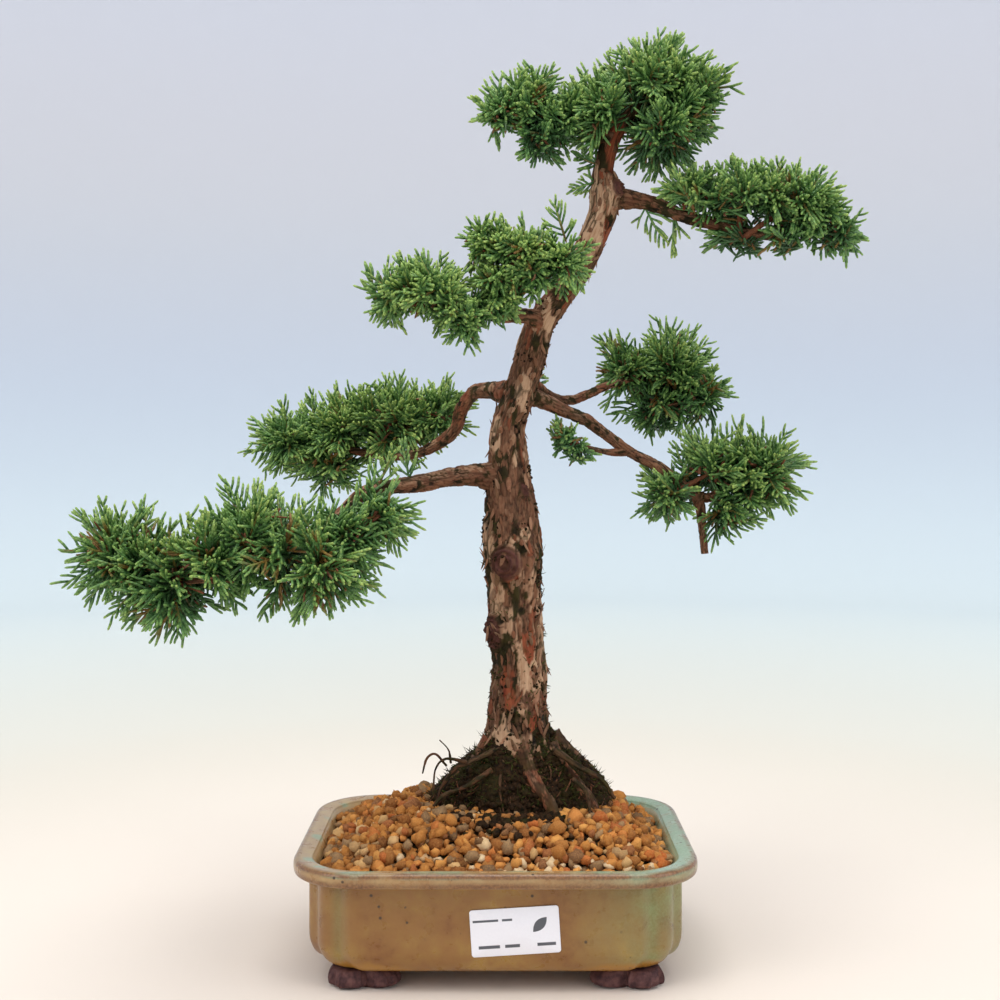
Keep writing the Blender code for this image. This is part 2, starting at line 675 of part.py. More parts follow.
make_pot()
make_feet()
make_drainage()
make_label()
make_gravel()
make_trunk()
make_root_ball()
make_limbs()
make_foliage()
rest_on_origin()
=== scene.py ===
# %% [markdown]
# # A juniper bonsai in a glazed pot
# This lesson dresses a small potted juniper whose solid model is already fixed. The solids
# give the places and sizes of the pot, the trunk, the limbs and the foliage pads. What they
# lack is the surface: flaking bark, thousands of scaly green cords, loose grit and glaze.
# Each of those is worked out here as numbers first, and only then put into a mesh.

from math import cos, pi, radians, sin, sqrt

import bpy
import numpy as np
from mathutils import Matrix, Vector


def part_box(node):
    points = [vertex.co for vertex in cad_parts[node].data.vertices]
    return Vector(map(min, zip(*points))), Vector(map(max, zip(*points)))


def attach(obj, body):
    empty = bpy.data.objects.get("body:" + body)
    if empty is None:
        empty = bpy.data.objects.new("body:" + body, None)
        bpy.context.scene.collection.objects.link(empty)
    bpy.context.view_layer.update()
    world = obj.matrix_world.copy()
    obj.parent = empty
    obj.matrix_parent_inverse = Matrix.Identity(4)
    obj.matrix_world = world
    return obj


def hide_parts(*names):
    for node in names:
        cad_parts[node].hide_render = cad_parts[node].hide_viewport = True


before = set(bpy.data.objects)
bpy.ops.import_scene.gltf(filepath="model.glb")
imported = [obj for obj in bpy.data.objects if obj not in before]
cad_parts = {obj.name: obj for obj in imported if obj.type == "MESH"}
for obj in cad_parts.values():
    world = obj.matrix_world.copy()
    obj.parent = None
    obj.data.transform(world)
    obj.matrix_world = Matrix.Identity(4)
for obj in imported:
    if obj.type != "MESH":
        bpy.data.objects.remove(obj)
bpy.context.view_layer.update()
MM = 0.001

# %% [markdown]
# ## Where things stand
# All the lengths below are millimetres. The pot's own solid tells where its middle and its rim
# are, and the tree's foot is a fixed step from there: the tree stands a little right of and
# behind the middle, level with the gravel at the wall.

# %% Pot middle and tree foot
pot_low, pot_high = (np.array(corner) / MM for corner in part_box("pot_body"))
POT_X, POT_Y = (pot_low + pot_high)[:2] / 2
RIM = pot_high[2]
BASE = pot_low[2]
GRAVEL_EDGE = RIM - 4.0
TREE = np.array([POT_X + 12.0, POT_Y + 14.0, GRAVEL_EDGE])
print("pot middle", round(POT_X, 2), round(POT_Y, 2), "tree foot", TREE.round(2))

# %% [markdown]
# ## The camera and the room
# The tree is seen almost level, from about two thirds of a metre, with a lens that is a little
# longer than normal. The room is one turned bowl: a flat floor that sweeps up into a wall, so
# no horizon line shows. It is pale cream below and a quiet grey blue above.

# %% Camera
CAMERA_RIGHT, CAMERA_BACK = 0.00198, -0.6579     # metres from the pot's middle
CAMERA_HEIGHT = 0.2366                           # metres above the table
CAMERA_DIP = 2.125                               # degrees below level
camera_data = bpy.data.cameras.new("camera")
camera_data.lens = 50.4
camera_data.sensor_width = 36.0
camera = bpy.data.objects.new("camera", camera_data)
camera.location = (POT_X * MM + CAMERA_RIGHT, POT_Y * MM + CAMERA_BACK, CAMERA_HEIGHT)
camera.rotation_euler = (radians(90 - CAMERA_DIP), 0.0, 0.0)
bpy.context.scene.collection.objects.link(camera)
bpy.context.scene.camera = camera
bpy.context.scene.view_settings.view_transform = "Standard"
print("camera", [round(v, 3) for v in camera.location])

# %% [markdown]
# ## Colours and shader nodes
# Colours are easiest to judge as screen values from 0 to 255, but a shader works in linear
# light, so one function turns one into the other. The rest add a node and fill its inputs, which
# keeps each material short enough to read as a recipe.

# %% Colour and node helpers
def tone(red, green, blue):
    """Screen values from 0 to 255 as linear light: v/12.92 near black, else ((v + 0.055)/1.055)^2.4."""
    value = np.array([red, green, blue]) / 255.0
    linear = np.where(value <= 0.04045, value / 12.92, ((value + 0.055) / 1.055) ** 2.4)
    return (*linear.tolist(), 1.0)


def fill(socket, value):
    """Link a socket to another one, or set it to a plain value."""
    if isinstance(value, bpy.types.NodeSocket):
        socket.id_data.links.new(value, socket)
    else:
        socket.default_value = value


def node(tree, kind, inputs=None, **settings):
    """Add a node with its settings and fill its inputs."""
    made = tree.nodes.new("ShaderNode" + kind)
    for key, value in settings.items():
        setattr(made, key, value)
    for key, value in (inputs or {}).items():
        fill(made.inputs[key], value)
    return made


def maths(tree, operation, *values, clamp=False):
    """A Math node's answer: one operation on up to three sockets or numbers."""
    return node(tree, "Math", dict(enumerate(values)), operation=operation, use_clamp=clamp).outputs[0]


def mix(tree, share, first, second):
    """The colour between first and second at a share from 0 to 1."""
    return node(tree, "Mix", {0: share, 6: first, 7: second}, data_type='RGBA').outputs[2]


def ramp(tree, value, stops, curve='LINEAR'):
    """The colour at a value on a ramp, whose stops are places from 0 to 1 with a colour each."""
    made = node(tree, "ValToRGB", {"Fac": value})
    made.color_ramp.interpolation = curve
    elements = made.color_ramp.elements
    elements[0].color, elements[1].color = stops[0][1], stops[-1][1]
    for spot, colour in stops[1:-1]:
        elements.new(spot).color = colour
    return made.outputs["Color"]


def spread(tree, value, low, high, new_low=0.0, new_high=1.0):
    """A value carried from the range low..high to a new range, and held inside it."""
    return node(tree, "MapRange", {"Value": value, "From Min": low, "From Max": high,
                                   "To Min": new_low, "To Max": new_high}).outputs["Result"]


def stored(tree, name, kind="Fac"):
    """A value that is kept on the mesh, or a vector."""
    return node(tree, "Attribute", attribute_name=name).outputs[kind]


def blank_material(name):
    """A material with its node tree, its Principled shader and the object's own coordinates."""
    material = bpy.data.materials.new(name)
    material.use_nodes = True
    tree = material.node_tree
    return material, tree, tree.nodes["Principled BSDF"], node(tree, "TexCoord").outputs["Object"]


def dress(shader, **values):
    """Fill the shader's own sockets, named here with _ for a space."""
    for label, value in values.items():
        fill(shader.inputs[label.replace("_", " ")], value)


print("a mid brown in linear light:", [round(v, 3) for v in tone(150, 110, 80)[:3]])

# %% [markdown]
# ## Two effects that most finishes share
# *Mottle* is a cloudy mask: noise of a stated size in millimetres, sharpened or softened by a
# contrast. *Grit* is a relief: fractal noise of a stated size and height that tilts the shading
# normal. Both are node groups, built once and placed wherever stone, soil, bark or glaze needs
# them.

# %% The mottle and grit groups
def start_group(name, inputs, outputs):
    """A node group with named sockets: each is a name, a socket kind and a starting value."""
    group = bpy.data.node_groups.new(name, 'ShaderNodeTree')
    for label, kind, value in inputs:
        socket = group.interface.new_socket(label, in_out='INPUT', socket_type="NodeSocket" + kind)
        if value is not None:
            socket.default_value = value
    for label, kind in outputs:
        group.interface.new_socket(label, in_out='OUTPUT', socket_type="NodeSocket" + kind)
    return group, group.nodes.new("NodeGroupInput"), group.nodes.new("NodeGroupOutput")


def noise_in_mm(group, vector, size, detail, roughness=0.6):
    """Noise whose cells are size millimetres wide, in coordinates that are metres."""
    scale = maths(group, 'DIVIDE', 1.0 / MM, size)
    return node(group, "TexNoise", {"Vector": vector, "Scale": scale, "Detail": detail,
                                    "Roughness": roughness}).outputs["Fac"]


mottle, ends, out = start_group("mottle", [("Vector", "Vector", None), ("Size", "Float", 5.0),
                                           ("Contrast", "Float", 3.0), ("Middle", "Float", 0.5)],
                                [("Mask", "Float")])
cloud = noise_in_mm(mottle, ends.outputs["Vector"], ends.outputs["Size"], 5.0)
centred = maths(mottle, 'SUBTRACT', cloud, ends.outputs["Middle"])
raised = maths(mottle, 'MULTIPLY_ADD', centred, ends.outputs["Contrast"], 0.5, clamp=True)
mottle.links.new(raised, out.inputs["Mask"])

grit, ends, out = start_group("grit", [("Vector", "Vector", None), ("Size", "Float", 1.0),
                                       ("Height", "Float", 0.2), ("Strength", "Float", 0.6)],
                              [("Normal", "Vector")])
relief = noise_in_mm(grit, ends.outputs["Vector"], ends.outputs["Size"], 6.0, 0.65)
depth = maths(grit, 'MULTIPLY', ends.outputs["Height"], MM)
bump = node(grit, "Bump", {"Height": relief, "Distance": depth, "Strength": ends.outputs["Strength"]})
grit.links.new(bump.outputs["Normal"], out.inputs["Normal"])


def place_mottle(tree, vector, size, contrast=3.0, middle=0.5):
    """Put the mottle group in a material and return its mask."""
    values = {"Vector": vector, "Size": size, "Contrast": contrast, "Middle": middle}
    return node(tree, "Group", values, node_tree=mottle).outputs["Mask"]


def place_grit(tree, vector, size, height, strength=0.6):
    """Put the grit group in a material and return its normal."""
    values = {"Vector": vector, "Size": size, "Height": height, "Strength": strength}
    return node(tree, "Group", values, node_tree=grit).outputs["Normal"]


print("groups:", [group.name for group in bpy.data.node_groups])

# %% [markdown]
# ## From arrays to a mesh
# A finished shape is a block of points and one or more blocks of faces. They go into the mesh
# whole, with foreach_set, which takes a million numbers in a blink. Values such as "how deep in
# a crevice", which paints shade into cracks, or "how near a tip" travel with the points and steer
# the colours later.

# %% Mesh and piece helpers
def build_mesh(name, points, faces, values):
    """A mesh from points in millimetres and blocks of three- or four-cornered faces."""
    mesh = bpy.data.meshes.new(name)
    corners = np.concatenate([block.ravel() for block in faces]).astype(np.int32)
    sizes = np.concatenate([np.full(len(block), block.shape[1]) for block in faces])
    mesh.vertices.add(len(points))
    mesh.vertices.foreach_set("co", (np.asarray(points) * MM).astype(np.float32).ravel())
    mesh.loops.add(len(corners))
    mesh.loops.foreach_set("vertex_index", corners)
    mesh.polygons.add(len(sizes))
    mesh.polygons.foreach_set("loop_start", (np.cumsum(sizes) - sizes).astype(np.int32))
    mesh.update(calc_edges=True)
    if "OFBake" in values:
        cells = mesh.uv_layers.new(name="OFBake").data
        cells.foreach_set("uv", np.asarray(values.pop("OFBake"), dtype=np.float32).ravel())
    for label, value in values.items():
        value = np.asarray(value, dtype=np.float32)
        kind, field = ('FLOAT_VECTOR', "vector") if value.ndim == 2 else ('FLOAT', "value")
        mesh.attributes.new(label, kind, 'POINT').data.foreach_set(field, value.ravel())
    mesh.shade_smooth()
    return mesh


def add_piece(name, points, faces, material, slot, stands_for=(), **values):
    """Make a piece of the object, hang it on the root body and hide the solids it stands for."""
    piece = bpy.data.objects.new(name, build_mesh(name, points, faces, values))
    bpy.context.scene.collection.objects.link(piece)
    piece.data.materials.append(material)
    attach(piece, "root")
    if stands_for:
        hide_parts(*stands_for)
    triangles = sum(len(block) * (block.shape[1] - 2) for block in faces)
    print(f"{name}: {triangles} triangles")
    return piece


def wrapped_quads(rows, columns):
    """Faces of a grid whose last column meets its first."""
    row, column = np.meshgrid(np.arange(rows - 1), np.arange(columns), indexing='ij')
    onward = (column + 1) % columns
    quads = np.stack([row * columns + column, row * columns + onward,
                      (row + 1) * columns + onward, (row + 1) * columns + column], -1)
    return quads.reshape(-1, 4)


def closed_grid(grid, start, end):
    """Points and faces of a wrapped grid (rows, columns, 3) whose ends close on two points."""
    rows, columns = grid.shape[:2]
    points = np.concatenate([grid.reshape(-1, 3), [start, end]])
    column = np.arange(columns)
    onward = (column + 1) % columns
    first, last = rows * columns, rows * columns + 1
    top = (rows - 1) * columns
    caps = np.concatenate([np.stack([np.full(columns, first), onward, column], -1),
                           np.stack([np.full(columns, last), top + column, top + onward], -1)])
    return points, [wrapped_quads(rows, columns), caps]


print("quads in a wrapped grid of 3 rows and 8 columns:", len(wrapped_quads(3, 8)))

# %% [markdown]
# ## The room
# A studio backdrop has no corner: its floor bends up into its wall. That is one profile turned
# about the upright axis. Its colours follow how far out and how high a place is, from cream
# through a pale blue to grey, and so they look the same from all round.

# %% Room: floor and wall in one sweep
FLOOR_RADIUS = 1.5
SWEEP = 0.6
WALL_TOP = 1.9

room_material, tree, shader, place = blank_material("room")
height = node(tree, "SeparateXYZ", {"Vector": place}).outputs["Z"]
plan = node(tree, "VectorMath", {0: place, 1: (1.0, 1.0, 0.0)}, operation='MULTIPLY').outputs["Vector"]
reach = node(tree, "VectorMath", {0: plan}, operation='LENGTH').outputs["Value"]
reach = maths(tree, 'MULTIPLY_ADD', reach, 0.3, height)
backdrop = ramp(tree, spread(tree, reach, 0.0, 1.8), [
    (0.0, tone(227, 215, 202)), (0.03, tone(227, 215, 202)), (0.095, tone(217, 214, 202)),
    (0.25, tone(228, 238, 237)), (0.52, tone(206, 214, 224)), (0.75, tone(213, 212, 217)),
    (1.0, tone(217, 217, 225))], 'CARDINAL')
dress(shader, Base_Color=backdrop, Roughness=0.9)

turn = np.linspace(0, 2 * pi, 96, endpoint=False)
bend = np.linspace(0, pi / 2, 24)
curve = np.stack([FLOOR_RADIUS + SWEEP * np.sin(bend), SWEEP * (1 - np.cos(bend))], -1)
profile = np.concatenate([[[0.3, 0.0]], curve, [[FLOOR_RADIUS + SWEEP, WALL_TOP]]])
sweep = np.stack([profile[:, None, 0] * np.cos(turn), profile[:, None, 0] * np.sin(turn),
                  np.broadcast_to(profile[:, None, 1], (len(profile), len(turn)))], -1) / MM
points = np.concatenate([sweep.reshape(-1, 3), [[0.0, 0.0, 0.0]]])
centre = np.full(len(turn), len(points) - 1)
inner = np.arange(len(turn))
faces = [wrapped_quads(*sweep.shape[:2])[:, ::-1], np.stack([centre, inner, (inner + 1) % len(turn)], -1)]
room = bpy.data.objects.new("room", build_mesh("room", points, faces, {}))
room.data.materials.append(room_material)
bpy.context.scene.collection.objects.link(room)
print("room:", len(points), "points")

# %% [markdown]
# ## Soft light
# A plant is lit best by large lamps that leave no hard shadow: one over it, and a weaker one at
# each side, the left one a little warmer. A pale sky fills in the rest.

# %% Soft light
def soft_light(name, power, size, spot, aim, colour=(1.0, 1.0, 1.0)):
    """A large square lamp at a spot, turned to shine at a point."""
    data = bpy.data.lights.new(name, 'AREA')
    data.energy, data.size, data.color = power, size, colour
    lamp = bpy.data.objects.new(name, data)
    lamp.location = spot
    lamp.rotation_euler = (Vector(aim) - Vector(spot)).to_track_quat('-Z', 'Y').to_euler()
    bpy.context.scene.collection.objects.link(lamp)


soft_light("roof_light", 22.5, 1.3, (0.0, -0.25, 1.75), (0.0, 0.0, 0.2))
soft_light("left_light", 8.0, 0.9, (-1.2, -0.9, 1.1), (0.0, 0.0, 0.2), (1.0, 0.98, 0.95))
soft_light("right_light", 6.0, 0.9, (1.25, -0.7, 0.9), (0.0, 0.0, 0.2), (0.96, 0.98, 1.0))
world = bpy.data.worlds.new("sky")
world.use_nodes = True
dress(world.node_tree.nodes["Background"], Color=tone(236, 240, 246), Strength=0.8)
bpy.context.scene.world = world
print("lamps:", [item.name for item in bpy.data.lights])

# %% [markdown]
# ## Noise on whole arrays
# Bark, soil and stones are rough in the same way: lumps on lumps. Blender can add such noise in
# a shader, but outlines need it in the shape itself. So the noise is worked out here for all
# points at once. Space is cut into cells, each cell corner gets a steady value from its whole
# numbers, and a point mixes the eight values around it.

# %% Noise for shapes
def hashed(cell, seed):
    """A steady value from 0 to 1 for each cell: its three whole numbers and the seed are
    multiplied by large odd numbers, added, and the high bits are folded onto the low ones."""
    x, y, z = ((cell[..., axis].astype(np.int64) & 0xFFFFFFFF).astype(np.uint32) for axis in range(3))
    mixed = x * np.uint32(374761393) + y * np.uint32(668265263) + z * np.uint32(2246822519)
    mixed = mixed + np.uint32(seed * 40503 + 12345)
    mixed = (mixed ^ (mixed >> np.uint32(13))) * np.uint32(1274126177)
    return ((mixed ^ (mixed >> np.uint32(16))) & np.uint32(0xFFFFFF)) / float(0xFFFFFF)


def soft_noise(points, size, seed):
    """Smooth noise from 0 to 1. With t the place inside a cell along each axis, corner values
    are mixed by s = t * t * (3 - 2 t). Size is the cell's width in millimetres, on every axis
    or on each."""
    scaled = points / np.asarray(size, dtype=float)
    base = np.floor(scaled)
    part = scaled - base
    part = part * part * (3.0 - 2.0 * part)
    total = np.zeros(points.shape[:-1])
    for corner in np.ndindex(2, 2, 2):
        weight = np.where(np.array(corner) == 1, part, 1.0 - part).prod(-1)
        total += weight * hashed(base + corner, seed)
    return total


def rough_noise(points, size, seed, octaves=3):
    """Soft noise added to copies of itself, each half the size and half as strong; 0 to 1."""
    size = np.asarray(size, dtype=float)
    layers = [soft_noise(points, size / 2 ** k, seed + 7 * k) / 2 ** k for k in range(octaves)]
    return sum(layers) / sum(0.5 ** k for k in range(octaves))


def plates(points, size, seed):
    """Irregular plates: each cell holds one random centre, and a point belongs to the nearest.
    Returns how far the nearest and the second nearest centres differ, which is 0 along the
    cracks between plates, and a steady value for each plate."""
    scaled = points / np.asarray(size, dtype=float)
    base = np.floor(scaled)
    nearest = np.full(points.shape[:-1], 9.0)
    second = nearest.copy()
    mark = np.zeros(points.shape[:-1])
    for step in np.ndindex(3, 3, 3):
        cell = base + np.array(step) - 1
        centre = cell + np.stack([hashed(cell, seed + k) for k in range(3)], -1)
        distance = np.linalg.norm(scaled - centre, axis=-1)
        closer = distance < nearest
        second = np.where(closer, nearest, np.minimum(second, distance))
        mark = np.where(closer, hashed(cell, seed + 3), mark)
        nearest = np.where(closer, distance, nearest)
    return second - nearest, mark


def ease(value, low, high):
    """0 below low, 1 above high, and t * t * (3 - 2 t) between."""
    part = np.clip((value - low) / (high - low), 0.0, 1.0)
    return part * part * (3.0 - 2.0 * part)


sample = np.random.default_rng(1).uniform(-50, 50, (5000, 3))
print("soft noise: mean", soft_noise(sample, 6.0, 2).mean().round(3),
      "plates: mean gap", plates(sample, 8.0, 3)[0].mean().round(3))

# %% [markdown]
# ## The pot
# The real pot is thrown stoneware pressed square: flat panels with rounded corners that step
# back, a rolled lip that overhangs, and a satin glaze that runs from ochre to celadon. A
# modeller might bevel a box, but the stepped corner fades out into the round lip, so the wall
# is lofted instead. Every level of the wall is one outline with its own inset, corner radius
# and step, and those three numbers run smoothly from level to level.

# %% Outline and levels
POT_LENGTH, POT_DEPTH = (pot_high - pot_low)[:2]
LIP_OVERHANG, LIP_WIDTH, LIP_DEPTH = 7.0, 8.5, 7.0
LIP_CORNER, BODY_CORNER, CORNER_SETBACK = 31.0, 11.0, 4.6
WALL, FLOOR_LEVEL = 6.0, BASE + 5.0
CORNER_STEPS = 14      # points on a quarter's arc
LEVEL_STEPS = 4        # rows from one listed level of the wall to the next


def along_polyline(points, steps):
    """Points spread evenly by index over a closed polyline: each side gets its own number of
    steps, so outlines of unlike size still match point for point."""
    parts = []
    for start, end, count in zip(points, np.roll(points, -1, axis=0), steps):
        share = np.arange(count)[:, None] / count
        parts.append(start + (end - start) * share)
    return np.concatenate(parts)


def pot_outline(inset, corner, setback):
    """One turn round the pot: a quarter is a panel, a step back at 45 degrees, an arc of the
    corner radius, a step forward and a panel. It is mirrored to all four quarters, and one
    round of averaging with both neighbours softens the steps."""
    half = np.array([POT_LENGTH, POT_DEPTH]) / 2 - inset
    centre = half - setback - corner
    angle = np.linspace(0, pi / 2, CORNER_STEPS)[1:-1, None]
    arc = centre + corner * np.hstack([np.cos(angle), np.sin(angle)])
    quarter = np.vstack([[half[0], 0.0], [half[0], centre[1] - setback], [half[0] - setback, centre[1]],
                         arc, [centre[0], half[1] - setback], [centre[0] - setback, half[1]],
                         [0.0, half[1]]])
    steps = np.array([34, 4, 2] + [2] * (CORNER_STEPS - 3) + [2, 4, 44])
    points = np.vstack([quarter[:-1], (quarter * (-1, 1))[::-1][:-1], (quarter * (-1, -1))[:-1],
                        (quarter * (1, -1))[::-1][:-1]])
    outline = along_polyline(points, np.concatenate([steps, steps[::-1], steps, steps[::-1]]))
    outline = 0.25 * np.roll(outline, 1, 0) + 0.5 * outline + 0.25 * np.roll(outline, -1, 0)
    return outline + (POT_X, POT_Y)


def eased_rows(rows, steps):
    """Rows of numbers carried smoothly from one to the next (Catmull-Rom), steps to a gap."""
    rows = np.array(rows, dtype=float)
    ends = np.vstack([2 * rows[0] - rows[1], rows, 2 * rows[-1] - rows[-2]])
    before, start, end, after = ends[:-3, None], ends[1:-2, None], ends[2:-1, None], ends[3:, None]
    t = (np.arange(steps) / steps)[None, :, None]
    curve = 0.5 * (2 * start + (end - before) * t + (2 * before - 5 * start + 4 * end - after) * t ** 2
                   + (3 * start - before - 3 * end + after) * t ** 3)
    return np.vstack([curve.reshape(-1, rows.shape[1]), rows[-1]])


lip_low = RIM - LIP_DEPTH
# For each level, from below: inset from the lip's outline, corner radius, step back, and height
OUTER_LEVELS = [
    (LIP_OVERHANG + 10.0, BODY_CORNER + 3.0, 0.6 * CORNER_SETBACK, BASE),
    (LIP_OVERHANG + 6.0, BODY_CORNER + 1.5, 0.8 * CORNER_SETBACK, BASE + 0.8),
    (LIP_OVERHANG + 2.8, BODY_CORNER, CORNER_SETBACK, BASE + 3.2),
    (LIP_OVERHANG + 0.8, BODY_CORNER, CORNER_SETBACK, BASE + 7.5),
    (LIP_OVERHANG, BODY_CORNER, CORNER_SETBACK, BASE + 12.5),
    (LIP_OVERHANG, BODY_CORNER, CORNER_SETBACK, BASE + 24.0),
    (LIP_OVERHANG, BODY_CORNER, CORNER_SETBACK, lip_low - 2.6),
    (LIP_OVERHANG - 0.9, BODY_CORNER + 5.0, 0.6 * CORNER_SETBACK, lip_low - 0.9),
    (LIP_OVERHANG - 3.4, LIP_CORNER - 6.0, 0.2 * CORNER_SETBACK, lip_low - 0.1),
    (0.8, LIP_CORNER - 1.0, 0.05, lip_low + 0.6), (0.0, LIP_CORNER, 0.05, lip_low + 2.4),
    (0.0, LIP_CORNER, 0.05, RIM - 1.9), (0.7, LIP_CORNER - 0.6, 0.05, RIM - 0.5),
    (2.2, LIP_CORNER - 1.8, 0.05, RIM), (LIP_WIDTH - 1.0, LIP_CORNER - 6.0, 0.05, RIM - 0.6),
    (LIP_WIDTH, LIP_CORNER - 7.0, 0.05, RIM - 1.5),
]
inner_wall = LIP_OVERHANG + WALL
INNER_LEVELS = [
    ((inner_wall + LIP_WIDTH) / 2 - 0.6, 23.0, 0.05, GRAVEL_EDGE),
    (inner_wall - 0.6, 21.0, 0.05, GRAVEL_EDGE - 8.0), (inner_wall, 19.0, 0.05, FLOOR_LEVEL + 9.0),
    (inner_wall + 0.8, 18.5, 0.05, FLOOR_LEVEL + 5.0), (inner_wall + 3.2, 17.5, 0.05, FLOOR_LEVEL + 1.4),
    (inner_wall + 7.0, 16.0, 0.05, FLOOR_LEVEL),
]
pot_levels = eased_rows(OUTER_LEVELS + INNER_LEVELS, LEVEL_STEPS)
pot_levels[:, 3] = np.minimum(pot_levels[:, 3], RIM)
outline_count = len(pot_outline(*pot_levels[0, :3]))
pot_grid = np.stack([np.column_stack([pot_outline(*level[:3]), np.full(outline_count, level[3])])
                     for level in pot_levels])
print("pot grid:", pot_grid.shape, "lip", (np.ptp(pot_grid[..., 0])).round(1), "mm long")

# %% [markdown]
# ## The glaze
# The glaze breaks to purple brown where it runs thin over the lip's edges, pools celadon on the
# right-hand side and along the lip, and is golden where it meets the bare feet. A yellow-green
# band at each corner's step is a painted highlight. Where a colour lies is part of the pot, so
# each of those masks is worked out on the pot's points. The shader then mixes them with mottles
# of a few sizes, so no border looks drawn.

# %% Glaze masks on the pot's points
LIP_OUTER_LEVEL = 11   # the last listed level that still counts as the pot's outside
level_count, turn_count = pot_grid.shape[:2]
flat = pot_grid.reshape(-1, 3)
inset = np.repeat(pot_levels[:, 0], turn_count)
level_z = flat[:, 2]
outside = np.repeat(np.arange(level_count) < LEVEL_STEPS * LIP_OUTER_LEVEL, turn_count)
on_lip = np.repeat(pot_levels[:, 3] > lip_low - 0.3, turn_count)
upper_edge = np.exp(-((level_z - RIM + 0.9) / 1.0) ** 2) * (inset < 2.4) * on_lip
lower_edge = np.exp(-((level_z - lip_low - 1.8) / 1.5) ** 2) * (inset < 1.5) * on_lip
worn = ease(rough_noise(flat, (16.0, 16.0, 5.0), 6), 0.3, 0.6)
band_face = on_lip * (level_z < RIM - 1.4) * (inset < 2.0) * worn
thin = np.clip(upper_edge * rough_noise(flat, 9.0, 5) * 2.2 + 0.7 * lower_edge + 0.35 * band_face, 0, 1)
right = ease(flat[:, 0] - POT_X + 16.0 * (rough_noise(flat, 22.0, 11) - 0.5), 22.0, 84.0)
# Painted highlight: a yellow-green band down each corner's step, laid into the celadon mask.
notch_highlight = np.exp(-((np.abs(np.abs(flat[:, 0] - POT_X) - 68.0) / 3.0) ** 2)) * (~on_lip)
lip_top = on_lip & (level_z > RIM - 2.0)
pools = ease(rough_noise(flat, 12.0, 14), 0.5, 0.62)
celadon = np.clip(right * (0.55 + 0.9 * (rough_noise(flat, 13.0, 8) - 0.4)) + 0.35 * notch_highlight
                  + lip_top * (0.06 + 0.8 * right + 0.75 * pools), 0, 1)
near_foot = np.exp(-((np.abs(flat[:, 0] - POT_X) - 58.0) / 22.0) ** 2)
crust_line = BASE + 2.0 + 5.0 * near_foot + 2.5 * (rough_noise(flat, 4.0, 9) - 0.5)
foot_crust = ease(crust_line - level_z, 0.0, 3.0) * outside
speckled = np.exp(-((flat[:, 0] - POT_X + 46.0) / 7.0) ** 2 - ((level_z - lip_low + 7.0) / 4.0) ** 2)
pot_values = {"speckled": speckled * outside * (flat[:, 1] < POT_Y), "thin": thin,
              "celadon": celadon, "crust": foot_crust, "lip": on_lip.astype(float)}
print("share of celadon:", celadon.mean().round(3), "thin:", thin.mean().round(3))

# %% [markdown]
# ### Glaze material
# A glaze is glass over clay, so it has a soft gloss and a clear coat. The ochre, the celadon,
# the crust and the thin brown are laid over each other by the masks, and a few iron specks come
# from cells of which only the rarest are kept.

# %% Glaze material
glaze, tree, shader, place = blank_material("ochre_celadon_glaze")
broad = place_mottle(tree, place, 26.0, 4.0)
small = place_mottle(tree, place, 7.0)
fine = place_mottle(tree, place, 1.1, 2.4)
ochre = mix(tree, broad, tone(116, 70, 30), tone(158, 122, 60))
ochre = mix(tree, small, ochre, tone(140, 98, 50))
lip_ochre = mix(tree, small, tone(160, 122, 78), tone(182, 154, 108))
ochre = mix(tree, stored(tree, "lip"), ochre, lip_ochre)
wall_green = mix(tree, fine, tone(122, 118, 66), tone(138, 146, 98))
lip_green = mix(tree, fine, tone(122, 142, 108), tone(152, 176, 148))
greenish = mix(tree, stored(tree, "lip"), wall_green, lip_green)
pooled = maths(tree, 'MULTIPLY', stored(tree, "celadon"), spread(tree, small, 0.0, 1.0, 0.75, 1.2),
               clamp=True)
body = mix(tree, pooled, ochre, greenish)
body = mix(tree, stored(tree, "crust"), body, tone(158, 112, 44))
broken = mix(tree, fine, tone(90, 58, 38), tone(148, 106, 68))
body = mix(tree, stored(tree, "thin"), body, broken)
speck_cells = node(tree, "TexVoronoi", {"Vector": place, "Scale": 260.0}, feature='F1')
speck = spread(tree, speck_cells.outputs["Distance"], 0.12, 0.22, 1.0, 0.0)
rare = node(tree, "SeparateColor", {"Color": speck_cells.outputs["Color"]}).outputs["Red"]
rare = maths(tree, 'MULTIPLY_ADD', stored(tree, "speckled"), 0.6, rare)
speck = maths(tree, 'MULTIPLY', speck, spread(tree, rare, 0.92, 0.95))
body = mix(tree, speck, body, tone(60, 44, 30))
dress(shader, Base_Color=body, Roughness=spread(tree, small, 0.0, 1.0, 0.24, 0.4),
      Normal=place_grit(tree, place, 3.0, 0.16, 0.25), Specular_IOR_Level=0.32,
      Coat_Weight=0.3, Coat_Roughness=0.12)
print("glaze:", len(tree.nodes), "nodes")

# %% [markdown]
# ### The pot and its drain holes
# The grid of levels closes on one point under the floor and one on it. Two holes are then cut
# with a Boolean, which is simpler here than a grid that goes round them, and the sharp edges
# that the cut leaves are marked by their angle.

# %% Pot body with its two drain holes
HOLE_RADIUS, HOLE_SPACING = 8.0, 72.0


def drill(piece, x, y, radius, low, high):
    """Cut an upright round hole through a piece and keep the result as its mesh."""
    bpy.ops.mesh.primitive_cylinder_add(vertices=40, radius=radius * MM, depth=(high - low) * MM,
                                        location=(x * MM, y * MM, (low + high) / 2 * MM))
    bit = bpy.context.object
    cut = piece.modifiers.new("hole", 'BOOLEAN')
    cut.operation, cut.object = 'DIFFERENCE', bit
    bpy.context.view_layer.update()
    finished = bpy.data.meshes.new_from_object(piece.evaluated_get(bpy.context.evaluated_depsgraph_get()))
    piece.modifiers.clear()
    piece.data = finished
    bpy.data.objects.remove(bit)


